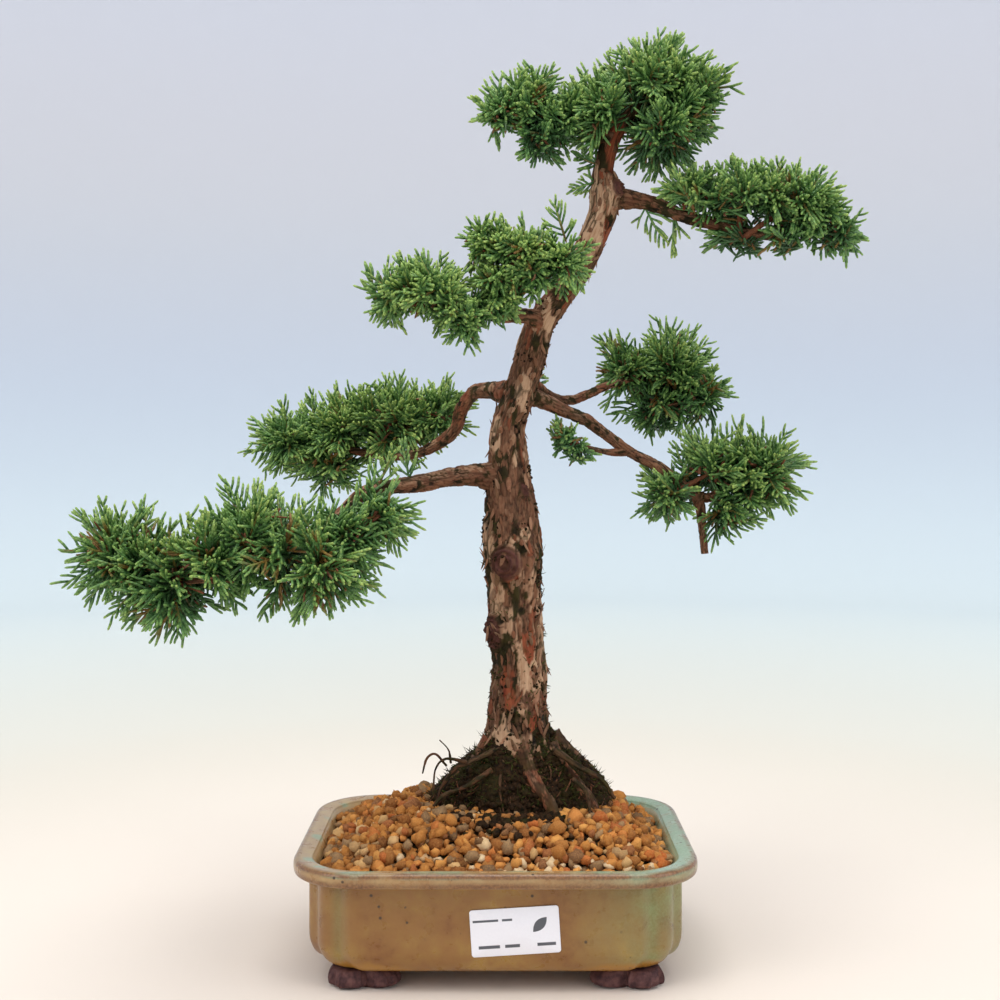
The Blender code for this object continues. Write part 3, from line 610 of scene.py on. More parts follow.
points, faces = closed_grid(pot_grid, (POT_X, POT_Y, BASE), (POT_X, POT_Y, FLOOR_LEVEL))
closed_values = {name: np.append(value, [0.0, 0.0]) for name, value in pot_values.items()}
pot = add_piece("glazed_pot", points, faces, glaze, "glaze", ["pot_body"], **closed_values)
for side in (-1, 1):
    drill(pot, POT_X + side * HOLE_SPACING / 2, POT_Y, HOLE_RADIUS, BASE - 2.0, FLOOR_LEVEL + 2.0)
pot.data.set_sharp_from_angle(angle=radians(50))
print("pot after drilling:", len(pot.data.polygons), "faces")

# %% [markdown]
# ## The feet
# Each foot is a little cloud of three lobes, left unglazed, with grooves pressed into it. Seen
# from above its outline is the outermost of three circles, and its side swells like a bun. So
# the foot is a function of the angle and the height: reach times swelling, less the grooves.

# %% Feet
FOOT_INSET = (19.0, 16.5)
LOBE_RADII, LOBE_PITCH = (10.0, 7.5, 7.5), 15.0
FOOT_TOP = BASE - 0.3

clay, tree, shader, place = blank_material("bare_clay")
patches = place_mottle(tree, place, 3.5, 3.5)
dress(shader, Base_Color=mix(tree, patches, tone(62, 38, 40), tone(108, 72, 68)), Roughness=0.7,
      Normal=place_grit(tree, place, 0.9, 0.25, 0.7), Specular_IOR_Level=0.25)


def circle_reach(angle, centre, radius):
    """How far a ray at an angle from the origin goes before it leaves a circle, or 0 if it
    misses: with b the centre's distance along the ray and c its distance across,
    b + sqrt(radius squared - c squared)."""
    along = np.cos(angle) * centre[0] + np.sin(angle) * centre[1]
    across = -np.sin(angle) * centre[0] + np.cos(angle) * centre[1]
    return np.where(np.abs(across) < radius, along + np.sqrt(np.maximum(radius ** 2 - across ** 2, 0)), 0.0)


def foot_shape(sign_x, sign_y):
    """A foot's grid: reach(angle) * swelling(height), with grooves of a cosine's shape."""
    angle = np.linspace(0, 2 * pi, 160, endpoint=False)
    centres = [(0.0, 0.0), (-sign_x * LOBE_PITCH, sign_y * 1.5), (sign_x * 1.5, -sign_y * LOBE_PITCH)]
    reaches = np.stack([circle_reach(angle, centre, radius) for centre, radius in zip(centres, LOBE_RADII)])
    reach = (reaches ** 12).sum(0) ** (1 / 12)
    level = np.linspace(0, 1, 26)[:, None]
    swelling = 0.78 + 0.22 * np.sin(pi * np.clip(0.12 + 0.88 * level, 0, 1)) ** 0.7
    swelling = swelling * np.sqrt(1 - (1 - np.clip(level / 0.22, 0, 1)) ** 2 * 0.55)
    arc = angle * reach / 3.1
    groove = 1.5 * np.maximum(np.cos(arc), 0) ** 8 * np.sin(pi * np.clip(level, 0, 1))
    radius = reach * swelling - groove
    x = POT_X + sign_x * (POT_LENGTH / 2 - LIP_OVERHANG - FOOT_INSET[0])
    y = POT_Y + sign_y * (POT_DEPTH / 2 - LIP_OVERHANG - FOOT_INSET[1])
    grid = np.stack([x + radius * np.cos(angle), y + radius * np.sin(angle),
                     np.broadcast_to(level * FOOT_TOP, radius.shape)], -1)
    grid[1:-1, :, :2] += 0.3 * (rough_noise(grid[1:-1], 2.0, 41)[..., None] - 0.5)
    return closed_grid(grid, (x, y, 0.0), (x, y, FOOT_TOP))


for end_name, sign_y in (("front", -1), ("back", 1)):
    for side_name, sign_x in (("left", -1), ("right", 1)):
        points, faces = foot_shape(sign_x, sign_y)
        add_piece(f"cloud_foot_{end_name}_{side_name}", points, faces, clay, "bare_clay",
                  [f"pot_foot_{end_name}_{side_name}"])

# %% [markdown]
# ## The label
# A small white card is stuck a little askew on the front. Its marks are generic: grey bars where
# a real card has print, and a plain leaf shape. The bars are boxes in the card's own coordinates,
# so they are drawn by the shader, crisp at any distance.

# %% Label
LABEL_SIZE, LABEL_CORNER, LABEL_TILT = (38.5, 20.5), 1.3, radians(3.6)
label_low, label_high = (np.array(corner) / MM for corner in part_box("label"))
label_middle = (label_low + label_high) / 2

paper, tree, shader, place = blank_material("label_paper")
card = node(tree, "SeparateXYZ", {"Vector": stored(tree, "card_place", "Vector")})


def bar_mask(x, y, half_x, half_y):
    """1 inside a box of the card: both distances from its middle are under its half sizes."""
    masks = []
    for socket, centre, half in (("X", x, half_x), ("Y", y, half_y)):
        size = maths(tree, 'ABSOLUTE', maths(tree, 'SUBTRACT', card.outputs[socket], centre))
        masks.append(spread(tree, size, half - 0.08, half + 0.08, 1.0, 0.0))
    return maths(tree, 'MULTIPLY', *masks)


def leaf_mask(x, y, length, width):
    """1 inside a leaf that leans at 45 degrees: with a the way along it and b the way across,
    (a / length) squared + |b / width| is under 1."""
    offset_x = maths(tree, 'SUBTRACT', card.outputs["X"], x)
    offset_y = maths(tree, 'SUBTRACT', card.outputs["Y"], y)
    along = maths(tree, 'DIVIDE', maths(tree, 'ADD', offset_x, offset_y), length)
    across = maths(tree, 'DIVIDE', maths(tree, 'SUBTRACT', offset_x, offset_y), width)
    edge = maths(tree, 'ADD', maths(tree, 'ABSOLUTE', across), maths(tree, 'POWER', along, 2.0))
    return spread(tree, edge, 0.97, 1.03, 1.0, 0.0)


BARS = [(-12.5, 5.2, 5.5, 0.5), (-3.2, 5.2, 2.2, 0.5), (-11.5, -6.2, 4.6, 0.7), (-1.5, -6.2, 3.2, 0.7),
        (13.2, -6.2, 4.0, 0.7)]
ink = leaf_mask(10.8, 2.4, 6.2, 3.0)
for bar in BARS:
    ink = maths(tree, 'MAXIMUM', ink, bar_mask(*bar))
sheet_colour = mix(tree, place_mottle(tree, place, 1.2, 1.0), tone(232, 230, 236), tone(240, 239, 244))
dress(shader, Base_Color=mix(tree, ink, sheet_colour, tone(84, 86, 92)), Roughness=0.45,
      Normal=place_grit(tree, place, 0.5, 0.02, 0.3))

rim_angle = np.linspace(0, 2 * pi, 64, endpoint=False)
rim_way = np.stack([np.cos(rim_angle), np.sin(rim_angle)], -1)
rim_quadrant = np.sign(rim_way) * (np.abs(rim_way) > 1e-9)
card_rim = rim_quadrant * (np.array(LABEL_SIZE) / 2 - LABEL_CORNER) + LABEL_CORNER * rim_way
rings = [(0.985, 0.0), (1.0, 0.05), (1.0, 0.22), (0.985, 0.3)]
card_grid = np.stack([np.column_stack([card_rim * share, np.full(64, depth)]) for share, depth in rings])


def on_card(points):
    """Card coordinates (right, up, out) carried to the pot's front, turned by the tilt."""
    right = points[..., 0] * cos(LABEL_TILT) - points[..., 1] * sin(LABEL_TILT)
    up = points[..., 0] * sin(LABEL_TILT) + points[..., 1] * cos(LABEL_TILT)
    return np.stack([label_middle[0] + right, label_high[1] - points[..., 2], label_middle[2] + up], -1)


flat_points, faces = closed_grid(card_grid, (0, 0, 0.0), (0, 0, 0.3))
add_piece("paper_label", on_card(flat_points), faces, paper, "label_paper", ["label"],
          card_place=flat_points)

# %% [markdown]
# ## Drainage mesh and clips
# The plastic mesh over each hole and the wire that holds it are already the right shape, so they
# keep their solids and only get a finish: matt black plastic, and drawn aluminium with fine marks.

# %% Mesh plastic and clip wire
plastic, tree, shader, place = blank_material("mesh_plastic")
dark = mix(tree, place_mottle(tree, place, 1.5, 2.0), tone(24, 24, 25), tone(48, 47, 46))
dress(shader, Base_Color=dark, Roughness=0.55, Normal=place_grit(tree, place, 0.6, 0.03, 0.5))
wire, tree, shader, place = blank_material("clip_wire")
bright = mix(tree, place_mottle(tree, place, 1.0, 2.0), tone(168, 168, 172), tone(206, 207, 210))
dress(shader, Base_Color=bright, Metallic=1.0, Roughness=0.38,
      Normal=place_grit(tree, place, 0.3, 0.02, 0.5))
for side_name in ("left", "right"):
    for node_name, material in (("drainage_mesh_", plastic), ("mesh_clip_", wire)):
        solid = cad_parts[node_name + side_name]
        solid.data.materials.clear()
        solid.data.materials.append(material)
print("finished:", [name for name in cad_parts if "mesh" in name])

# %% [markdown]
# ## The gravel
# The grit is baked clay and lava, 3 to 7 mm across, raked up towards the trunk. A particle
# system could scatter stones, but here each one is placed by formula: one shape of 24 faces,
# stretched, knocked out of true and turned differently for every grain. Under the grains lies a
# bed in the near-black soil colour, a painted shade that makes the gaps between them read as deep.

# %% Height of the gravel
GRAVEL_HEAP, HEAP_SHARE = 14.0, 0.45
gravel_rim = pot_outline((inner_wall + LIP_WIDTH) / 2 - 0.3, 23.0, 0.05)
rim_offset = gravel_rim - TREE[:2]
rim_angle = np.arctan2(rim_offset[:, 1], rim_offset[:, 0])
rim_order = np.argsort(rim_angle)
rim_angle, rim_reach = rim_angle[rim_order], np.linalg.norm(rim_offset, axis=1)[rim_order]


def way_to_trunk(x, y):
    """How far a place lies from the wall towards the trunk, as a share: 0 at the wall, 1 at
    the trunk, measured along the ray from the trunk."""
    offset_x, offset_y = x - TREE[0], y - TREE[1]
    reach = np.interp(np.arctan2(offset_y, offset_x), rim_angle, rim_reach, period=2 * pi)
    return 1.0 - np.hypot(offset_x, offset_y) / reach


def gravel_height(x, y):
    """The rake: the heap times t * t * (3 - 2 t), where t is the share over HEAP_SHARE."""
    return GRAVEL_EDGE + GRAVEL_HEAP * ease(way_to_trunk(x, y), 0.0, HEAP_SHARE)


print("gravel at the wall and halfway:", GRAVEL_EDGE.round(1),
      gravel_height(TREE[0] - 45, TREE[1]).round(1))

# %% [markdown]
# ### Stone and soil
# Each stone carries one number that picks its colour from a ramp: rust, ochre, sand, grey and
# cream. Blotches and dust keep it from looking painted. The soil is nearly black and matt, with
# a breath of moss.

# %% Stone and soil materials
grain_stone, tree, shader, place = blank_material("baked_clay_grains")
grain_colour = ramp(tree, stored(tree, "grain_kind"), [
    (0.0, tone(78, 40, 18)), (0.14, tone(132, 76, 34)), (0.30, tone(194, 126, 58)),
    (0.44, tone(150, 94, 46)), (0.56, tone(224, 158, 82)), (0.64, tone(184, 94, 42)),
    (0.71, tone(98, 76, 56)), (0.82, tone(148, 120, 88)), (0.91, tone(214, 170, 112)),
    (1.0, tone(222, 196, 156))])
grain_blotch = place_mottle(tree, place, 2.2, 2.4)
grain_dust = place_mottle(tree, place, 0.7, 3.0, 0.56)
face = mix(tree, spread(tree, grain_blotch, 0.0, 1.0, 0.0, 0.35), grain_colour, tone(104, 58, 26))
face = mix(tree, spread(tree, grain_dust, 0.0, 1.0, 0.0, 0.3), face, tone(222, 168, 100))
dress(shader, Base_Color=face, Roughness=0.85, Normal=place_grit(tree, place, 1.0, 0.35, 0.8),
      Specular_IOR_Level=0.15)

soil, tree, shader, place = blank_material("dark_soil")
crumb = place_mottle(tree, place, 1.8, 3.0)
moss_patch = place_mottle(tree, place, 9.0, 6.0, 0.56)
earth = mix(tree, crumb, tone(14, 10, 6), tone(62, 43, 27))
earth = mix(tree, spread(tree, moss_patch, 0.0, 1.0, 0.0, 0.45), earth, tone(44, 50, 18))
dress(shader, Base_Color=earth, Roughness=spread(tree, crumb, 0.0, 1.0, 0.5, 0.9),
      Normal=place_grit(tree, place, 1.4, 0.6, 0.9), Specular_IOR_Level=0.06)
print("stone:", len(grain_stone.node_tree.nodes), "nodes; soil:", len(tree.nodes), "nodes")

# %% [markdown]
# ### The bed
# The bed fills the pot from its floor up, in the near-black soil colour as painted shade between
# the grains. Its lower rows follow the inside of the wall and its upper rows shrink towards the
# trunk and rise with the rake.

# %% Bed under the grains
BED_GAP = 0.35         # between the bed and the pot
BED_SINK = 2.4         # how far the bed lies below the tops of the grains
bed_levels = [(inset + BED_GAP, corner, setback, min(z, GRAVEL_EDGE - 2.2))
              for inset, corner, setback, z in eased_rows(INNER_LEVELS, 3)[::-1]]
bed_rings = [np.column_stack([pot_outline(*level[:3]), np.full(turn_count, level[3] + BED_GAP)])
             for level in bed_levels]
for share in np.linspace(0.03, 0.97, 40):
    ring = gravel_rim + (TREE[:2] - gravel_rim) * share
    bed_rings.append(np.column_stack([ring, gravel_height(ring[:, 0], ring[:, 1]) - BED_SINK]))
bed_grid = np.stack(bed_rings)
top_rows = len(bed_levels)
bed_grid[top_rows:, :, 2] += 1.6 * (rough_noise(bed_grid[top_rows:] * (1, 1, 0), 4.0, 61) - 0.5)
points, faces = closed_grid(bed_grid, (POT_X, POT_Y, FLOOR_LEVEL + BED_GAP),
                            (TREE[0], TREE[1], gravel_height(TREE[0], TREE[1]) - BED_SINK))
# The bed takes the near-black soil colour as painted shade in the gaps between the grains.
add_piece("gravel_bed_painted_shade", points, faces, soil, "gravel", ["gravel_fill"])

# %% [markdown]
# ## One stone, many times
# The stone is a cube cut into eight, pushed out to a ball: 26 points and 24 faces. Every grain
# scales its three axes, moves each point in or out a little, and turns by a random rotation. All
# the grains of a piece are one multiplication of arrays.

# %% Stones by formula
def ball_of_24_faces():
    """Points of the cube's surface grid at -1, 0 and 1, pushed out to radius 1, and its faces."""
    lattice = np.array([p for p in np.ndindex(3, 3, 3) if 0 in p or 2 in p]) - 1
    index = {tuple(p): i for i, p in enumerate(lattice)}
    quads = []
    for axis in range(3):
        for sign in (-1, 1):
            for u, v in np.ndindex(2, 2):
                corners = []
                for du, dv in ((0, 0), (1, 0), (1, 1), (0, 1)):
                    spot = [0, 0, 0]
                    spot[axis], spot[(axis + 1) % 3], spot[(axis + 2) % 3] = sign, u + du - 1, v + dv - 1
                    corners.append(index[tuple(spot)])
                quads.append(corners if sign > 0 else corners[::-1])
    return lattice / np.linalg.norm(lattice, axis=1)[:, None], np.array(quads)


BALL_POINTS, BALL_QUADS = ball_of_24_faces()


def random_turns(rng, count):
    """Random rotations from unit quaternions (w, x, y, z), as count matrices."""
    quaternions = rng.normal(size=(4, count))
    w, x, y, z = quaternions / np.linalg.norm(quaternions, axis=0)
    rows = [1 - 2 * (y * y + z * z), 2 * (x * y - w * z), 2 * (x * z + w * y),
            2 * (x * y + w * z), 1 - 2 * (x * x + z * z), 2 * (y * z - w * x),
            2 * (x * z - w * y), 2 * (y * z + w * x), 1 - 2 * (x * x + y * y)]
    return np.stack(rows, -1).reshape(count, 3, 3)


def stones(rng, centres, radii, flatness=0.25, knock=0.13):
    """Points and faces of one stone at each centre: turn * (axes * ball * (1 + knock)) + centre."""
    count = len(centres)
    axes = radii[:, None] * (1 + flatness * rng.uniform(-1, 1, (count, 3)))
    lumps = 1 + knock * rng.normal(size=(count, len(BALL_POINTS), 1))
    local = BALL_POINTS * axes[:, None] * lumps
    points = np.einsum('nij,npj->npi', random_turns(rng, count), local) + centres[:, None]
    quads = BALL_QUADS + len(BALL_POINTS) * np.arange(count)[:, None, None]
    return points.reshape(-1, 3), [quads.reshape(-1, 4)]


print("ball:", len(BALL_POINTS), "points,", len(BALL_QUADS), "faces")

# %% [markdown]
# ## The root mound
# The tree was lifted a little when it was potted, so a dark, mossy mound of old roots and soil
# stands above the gravel and runs up into the trunk. Its radius falls with height and has
# lumps of three and five to a turn; noise roughens it.

# %% Mound surface
BALL_RADIUS_X, BALL_RADIUS_Y = 44.0, 28.0
# For each level: height above the gravel's edge, and shares of the two radii
MOUND_LEVELS = [(6.0, 1.0, 1.0), (13.0, 1.0, 1.0), (20.0, 0.95, 0.97), (26.0, 0.83, 0.87),
                (31.0, 0.71, 0.78), (36.0, 0.58, 0.70), (41.0, 0.44, 0.61), (46.0, 0.34, 0.50),
                (52.0, 0.30, 0.46)]
ball_levels = [(-32.0, 0.72, 0.72), (-27.0, 0.90, 0.92), (-16.0, 0.98, 1.0)] + MOUND_LEVELS[:-1]


def mound_reach(angle, above, share_x, share_y):
    """Places round the mound at a height above the gravel's edge: an ellipse with lumps."""
    lump = (1 + 0.05 * np.sin(3 * angle + 0.09 * above + 4.64)
            + 0.03 * np.sin(5 * angle - 0.13 * above - 6.7))
    return np.stack([TREE[0] + BALL_RADIUS_X * share_x * lump * np.cos(angle),
                     TREE[1] + BALL_RADIUS_Y * share_y * lump * np.sin(angle),
                     TREE[2] + above + 0 * angle], -1)


mound_rows = eased_rows(ball_levels, 12)
turn = np.linspace(0, 2 * pi, 300, endpoint=False)
mound = np.stack([mound_reach(turn, *row) for row in mound_rows])
outward = (mound - TREE) * (1, 1, 0)
outward /= np.linalg.norm(outward, axis=-1, keepdims=True)
crags = 5.4 * (rough_noise(mound, 7.0, 71, 4) - 0.5) + 2.0 * (rough_noise(mound, 1.8, 77, 2) - 0.5)
mound = mound + outward * crags[..., None]
points, faces = closed_grid(mound, (TREE[0], TREE[1], mound[0, 0, 2]), (TREE[0], TREE[1], mound[-1, 0, 2]))
add_piece("root_mound", points, faces, soil, "root_soil", ["root_ball"])


def mound_radius_at(x, y):
    """How deep a place lies inside the mound's plan outline at gravel level: over 1 is inside."""
    return 1.0 / np.maximum(np.hypot((x - TREE[0]) / BALL_RADIUS_X, (y - TREE[1]) / BALL_RADIUS_Y), 1e-6)


# %% [markdown]
# ### Grains on the bed
# Real grit lies in layers, so three layers are laid: a low one that fills the gaps, the one that
# shows, and a few large stones on top. Each layer is a honeycomb of places moved at random, and
# none stands outside the rim or inside the mound.

# %% Grains on the bed
# For each layer: pitch, how far it sinks below the rake, and how near the mound it may come
GRAIN_LAYERS = ((4.7, 2.6, 1.25), (4.3, 0.4, 1.12), (7.5, -1.6, 1.06))
WALL_CLEARANCE = 2.4   # from a grain's middle to the wall
SMALLEST, MIDDLING, LARGEST = 1.35, 2.2, 3.5     # radii of the grains
rng = np.random.default_rng(7)


def grain_places(pitch, wall_gap, mound_gap):
    """A honeycomb of places, each moved at random by up to a third of the pitch, without those
    that fall outside the rim or inside the mound."""
    columns, rows = int(POT_LENGTH / pitch) + 2, int(POT_DEPTH / (pitch * 0.87)) + 2
    column, row = np.meshgrid(np.arange(columns), np.arange(rows))
    x = POT_X - POT_LENGTH / 2 + (column + 0.5 * (row % 2)) * pitch
    y = POT_Y - POT_DEPTH / 2 + row * pitch * 0.87
    spots = np.stack([x.ravel(), y.ravel()], -1) + rng.uniform(-0.34, 0.34, (x.size, 2)) * pitch
    reach = np.hypot(*(spots - TREE[:2]).T)
    share = way_to_trunk(spots[:, 0], spots[:, 1])
    kept = (share * reach / np.maximum(1 - share, 0.01) > wall_gap) & (
        mound_radius_at(spots[:, 0], spots[:, 1]) < mound_gap)
    return spots[kept]


grain_points, grain_faces, grain_kinds = [], [], []
total = 0
for pitch, sink, mound_gap in GRAIN_LAYERS:
    spots = grain_places(pitch, WALL_CLEARANCE, mound_gap)
    count = len(spots)
    radii = np.clip(rng.lognormal(np.log(MIDDLING), 0.24, count), SMALLEST, LARGEST)
    height = gravel_height(spots[:, 0], spots[:, 1]) - sink + rng.uniform(-0.8, 0.8, count)
    by_the_wall = way_to_trunk(spots[:, 0], spots[:, 1]) < 0.09
    height = np.where(by_the_wall, np.minimum(height, RIM - 3.2), height)
    points, (quads,) = stones(rng, np.column_stack([spots, height]), radii, 0.34, 0.19)
    front = ease(POT_Y - 40.0 - spots[:, 1], 0.0, 14.0)
    kinds = np.clip(rng.beta(1.6, 1.7, count) + 0.4 * front * (rng.random(count) < 0.4), 0, 1)
    grain_points.append(points)
    grain_faces.append(quads + total)
    grain_kinds.append(np.repeat(kinds, len(BALL_POINTS)))
    total += len(points)
add_piece("gravel_grains", np.concatenate(grain_points), [np.concatenate(grain_faces)], grain_stone,
          "gravel", grain_kind=np.concatenate(grain_kinds))

# %% [markdown]
# ## A tube along a route
# Trunk, limbs and roots are all tubes whose middle line and thickness were fixed with the
# solids. A curve object with a bevel would give the tube, but no bark. So the tube is laid out
# as a grid here: stations every fraction of a millimetre, a ring of points at each, and a frame
# that is carried along without twisting. Each point also gets its place on the *straightened*
# tube, because bark follows the wood and not the room.

# %% Grid along a route
def stations_along(route, pitch):
    """Places and radii every pitch millimetres on the smooth curve through a route."""
    fine = eased_rows(route, 16)
    along = np.append(0.0, np.cumsum(np.linalg.norm(np.diff(fine[:, :3], axis=0), axis=1)))
    at = np.linspace(0.0, along[-1], max(int(along[-1] / pitch), 4))
    return np.stack([np.interp(at, along, column) for column in fine.T], -1), at


def tube_grid(route, pitch, sides):
    """Middle line, outward directions and straightened places of a tube. Each station's side
    direction is the one before it, less what lies along the new tangent."""
    stations, along = stations_along(route, pitch)
    middle = stations[:, :3] + TREE
    tangent = np.gradient(middle, axis=0)
    tangent /= np.linalg.norm(tangent, axis=1, keepdims=True)
    side = np.zeros_like(tangent)
    carried = np.cross(tangent[0], (0.0, 1.0, 0.03))
    for row, along_tangent in enumerate(tangent):
        carried = carried - along_tangent * (carried @ along_tangent)
        carried = carried / np.linalg.norm(carried)
        side[row] = carried
    up = np.cross(tangent, side)
    angle = np.linspace(0, 2 * pi, sides, endpoint=False)[None, :, None]
    outward = side[:, None] * np.cos(angle) + up[:, None] * np.sin(angle)
    radius = stations[:, 3][:, None]
    mean = stations[:, 3].mean()
    turn = angle[..., 0]
    straight = np.stack([mean * np.cos(turn) + 0 * radius, mean * np.sin(turn) + 0 * radius,
                         along[:, None] + 0 * turn], -1)
    return middle, outward, radius, straight, along


print("stations on a 30 mm route:", len(stations_along([(0, 0, 0, 3.0), (0, 0, 30, 2.0)], 0.6)[1]))

# %% [markdown]
# ## Bark relief
# Old juniper bark is a stack of thin layers that split lengthwise and lift in plates. Three
# reliefs are added: long ridges, plates at unlike heights with dark cracks between them, and a
# fine crumble. The same numbers steer the colour: a crack is always both deep and painted dark
# as shade, and a high ridge is painted light.

# %% Relief and its masks
def bark_relief(straight, strength, seed, plate=(6.0, 6.0, 24.0)):
    """Relief in millimetres and its masks: strength * (ridges + plate heights - cracks + crumble)."""
    warp = np.stack([rough_noise(straight, (7.0, 7.0, 14.0), seed + k) - 0.5 for k in range(3)], -1)
    bent = straight + warp * (4.0, 4.0, 14.0)
    ridges = rough_noise(bent, (3.2, 3.2, 30.0), seed + 11, 3)
    gap, mark = plates(bent, plate, seed + 23)
    crack = 1.0 - ease(gap, 0.02, 0.16)
    fine_gap, fine_mark = plates(bent + warp * 3.0, tuple(0.42 * width for width in plate), seed + 29)
    crack = np.maximum(crack, 0.7 * (1.0 - ease(fine_gap, 0.02, 0.14)))
    mark = 0.6 * mark + 0.4 * fine_mark
    crumble = rough_noise(straight, (0.9, 0.9, 2.4), seed + 37, 2)
    relief = strength * (1.5 * (ridges - 0.5) + 2.0 * (mark - 0.5) - 0.9 * crack + 0.7 * (crumble - 0.5))
    return relief, {"mark": mark, "crack": crack, "ridge": ridges, "crumble": crumble}


# Patches that the layers have left bare or that moss has taken, on the side that faces front:
# x and z from the tree's foot, half width, half height, and what shows there
PATCHES = [
    (37, 298, 8, 11, "pale"), (33, 290, 6, 10, "pale"), (27, 275, 3, 9, "pale"), (41, 320, 6, 9, "fresh"),
    (46, 332, 6, 7, "fresh"), (39, 304, 6, 6, "pale"), (12, 246, 3, 9, "pale"), (0, 212, 4, 9, "pale"),
    (-12, 191, 3, 13, "pale"), (-3, 181, 2, 5, "pale"), (2, 144, 3, 3, "pale"), (-16, 141, 3, 9, "pale"),
    (-11, 113, 5, 9, "pale"), (8, 107, 2.5, 10, "pale"), (5, 80, 6, 15, "pale"), (-8, 48, 6, 11, "pale"),
    (-6, 69, 3.4, 12, "fresh"), (-5, 124, 3.5, 3, "fresh"), (6, 55, 3, 5, "fresh"),
    (0, 35, 2.6, 5, "fresh"), (4, 92, 3, 7, "fresh"), (20, 262, 3, 9, "fresh"), (41, 288, 2.5, 9, "fresh"),
    (-10, 181, 4, 4, "dirt"), (-8, 104, 4, 3, "dirt"), (0, 108, 2.5, 2, "dirt"), (14, 44, 8, 14, "dirt"),
    (9, 49, 4, 5, "dirt"), (-12, 209, 5, 6, "dirt"), (12, 128, 3, 16, "dirt"), (-18, 120, 3, 14, "dirt"),
]
# Knots: middle from the tree's foot, and half sizes
KNOTS = [((-7, -13, 131), (8.0, 5.5, 10.0)), ((-13, -7, 97), (6.5, 7.5, 10.5)),
         ((46, -8, 307), (6.0, 5.0, 5.0)), ((2, -11, 167), (3.5, 3.0, 7.0))]


def patch_masks(points, facing):
    """How much each kind of patch shows: 1 inside its ellipse, with an edge torn by noise."""
    x, z = (points - TREE)[..., 0], (points - TREE)[..., 2]
    torn = 1.9 * (rough_noise(points, (2.4, 2.4, 9.0), 91, 3) - 0.5)
    masks = {kind: np.zeros(x.shape) for kind in ("pale", "fresh", "dirt")}
    for at_x, at_z, half_x, half_z, kind in PATCHES:
        away = np.hypot((x - at_x) / half_x, (z - at_z) / half_z) + torn
        masks[kind] = np.maximum(masks[kind], (1.0 - ease(away, 0.82, 0.95)) * facing)
    return masks


def knot_mask(points):
    """How near each point lies to a knot's middle: 1 there, falling to 0 beyond its edge."""
    nearness = np.zeros(points.shape[:-1])
    for centre, radii in KNOTS:
        away = np.linalg.norm((points - TREE - centre) / np.array(radii), axis=-1)
        nearness = np.maximum(nearness, 1.0 - ease(away, 0.0, 1.35))
    return nearness


print("patches:", len(PATCHES), "knots:", len(KNOTS))

# %% [markdown]
# ## Bark colours
# One material dresses all the wood. It reads each place's tone, which carries painted light on
# ridges and painted shade in cracks, whether a layer has peeled, and the straightened place for
# streaks that run with the grain.

# %% Bark material
bark, tree, shader, place = blank_material("juniper_bark")
grain_place = stored(tree, "grain_place", "Vector")
stretched = node(tree, "Mapping", {"Vector": grain_place, "Scale": (1.0, 1.0, 0.16)}).outputs["Vector"]
streak = place_mottle(tree, stretched, 2.0, 3.2)
thread = place_mottle(tree, stretched, 0.6, 2.6)
blotch = place_mottle(tree, place, 6.0, 3.0)
# Tone from dark to light: on the trunk and limbs it carries painted shade in cracks and painted light on
# ridges.
by_age = ramp(tree, stored(tree, "age"), [
    (0.0, tone(38, 22, 14)), (0.28, tone(78, 44, 30)), (0.5, tone(108, 66, 45)),
    (0.72, tone(134, 92, 66)), (1.0, tone(160, 120, 90))])
wood = mix(tree, spread(tree, streak, 0.0, 1.0, 0.0, 0.55), by_age, tone(72, 40, 30))
wood = mix(tree, spread(tree, thread, 0.0, 1.0, 0.0, 0.42), wood, tone(172, 128, 96))
pale_wood = mix(tree, streak, tone(188, 150, 118), tone(150, 108, 78))
pale_wood = mix(tree, spread(tree, thread, 0.0, 1.0, 0.0, 0.5), pale_wood, tone(204, 172, 142))
wood = mix(tree, stored(tree, "pale"), wood, pale_wood)
fresh_wood = mix(tree, streak, tone(152, 84, 54), tone(112, 50, 34))
wood = mix(tree, stored(tree, "fresh"), wood, fresh_wood)
knot_wood = mix(tree, thread, tone(104, 62, 54), tone(54, 30, 30))
wood = mix(tree, stored(tree, "knot"), wood, knot_wood)
moss_film = mix(tree, blotch, tone(24, 17, 10), tone(58, 50, 22))
wood = mix(tree, stored(tree, "dirt"), wood, moss_film)
dress(shader, Base_Color=wood, Roughness=spread(tree, streak, 0.0, 1.0, 0.6, 0.9),
      Normal=place_grit(tree, stretched, 0.8, 0.3, 0.8), Specular_IOR_Level=0.14)
print("bark:", len(tree.nodes), "nodes")

# %% [markdown]
# ## The trunk
# The trunk is one tube from the mound to the crown. Its relief shrinks with its thickness, its
# foot is fluted, and each knot is a swelling with a dimple and rings. Where a patch has peeled,
# the relief is calmer. The same masks then say which colour shows.

# %% Trunk
# Stations from the foot up: place from the tree's foot, and radius
TRUNK_ROUTE = [
    (0, 0, -1, 15.0), (0, 0, 17, 17.5), (0, 0, 31, 18.0), (-1, 0, 45, 16.0),
    (-1, 0, 61, 14.2), (-1, 0, 83, 12.8), (-3, 0, 109, 12.6), (-4, 0, 133, 14.4),
    (-5, 0, 157, 13.0), (-6, 0, 175, 10.0), (-6, 0, 195, 8.0), (0, 0, 212, 7.4),
    (4, 0, 227, 7.6), (9, -1, 244, 7.0), (19, -2, 258, 6.6), (30, -3, 276, 6.6),
    (38, -4, 294, 6.8), (40, -4, 307, 7.2), (39, -5, 317, 5.0), (43, -6, 331, 4.4),
    (50, -6, 342, 4.0), (58, -6, 352, 2.6),
]


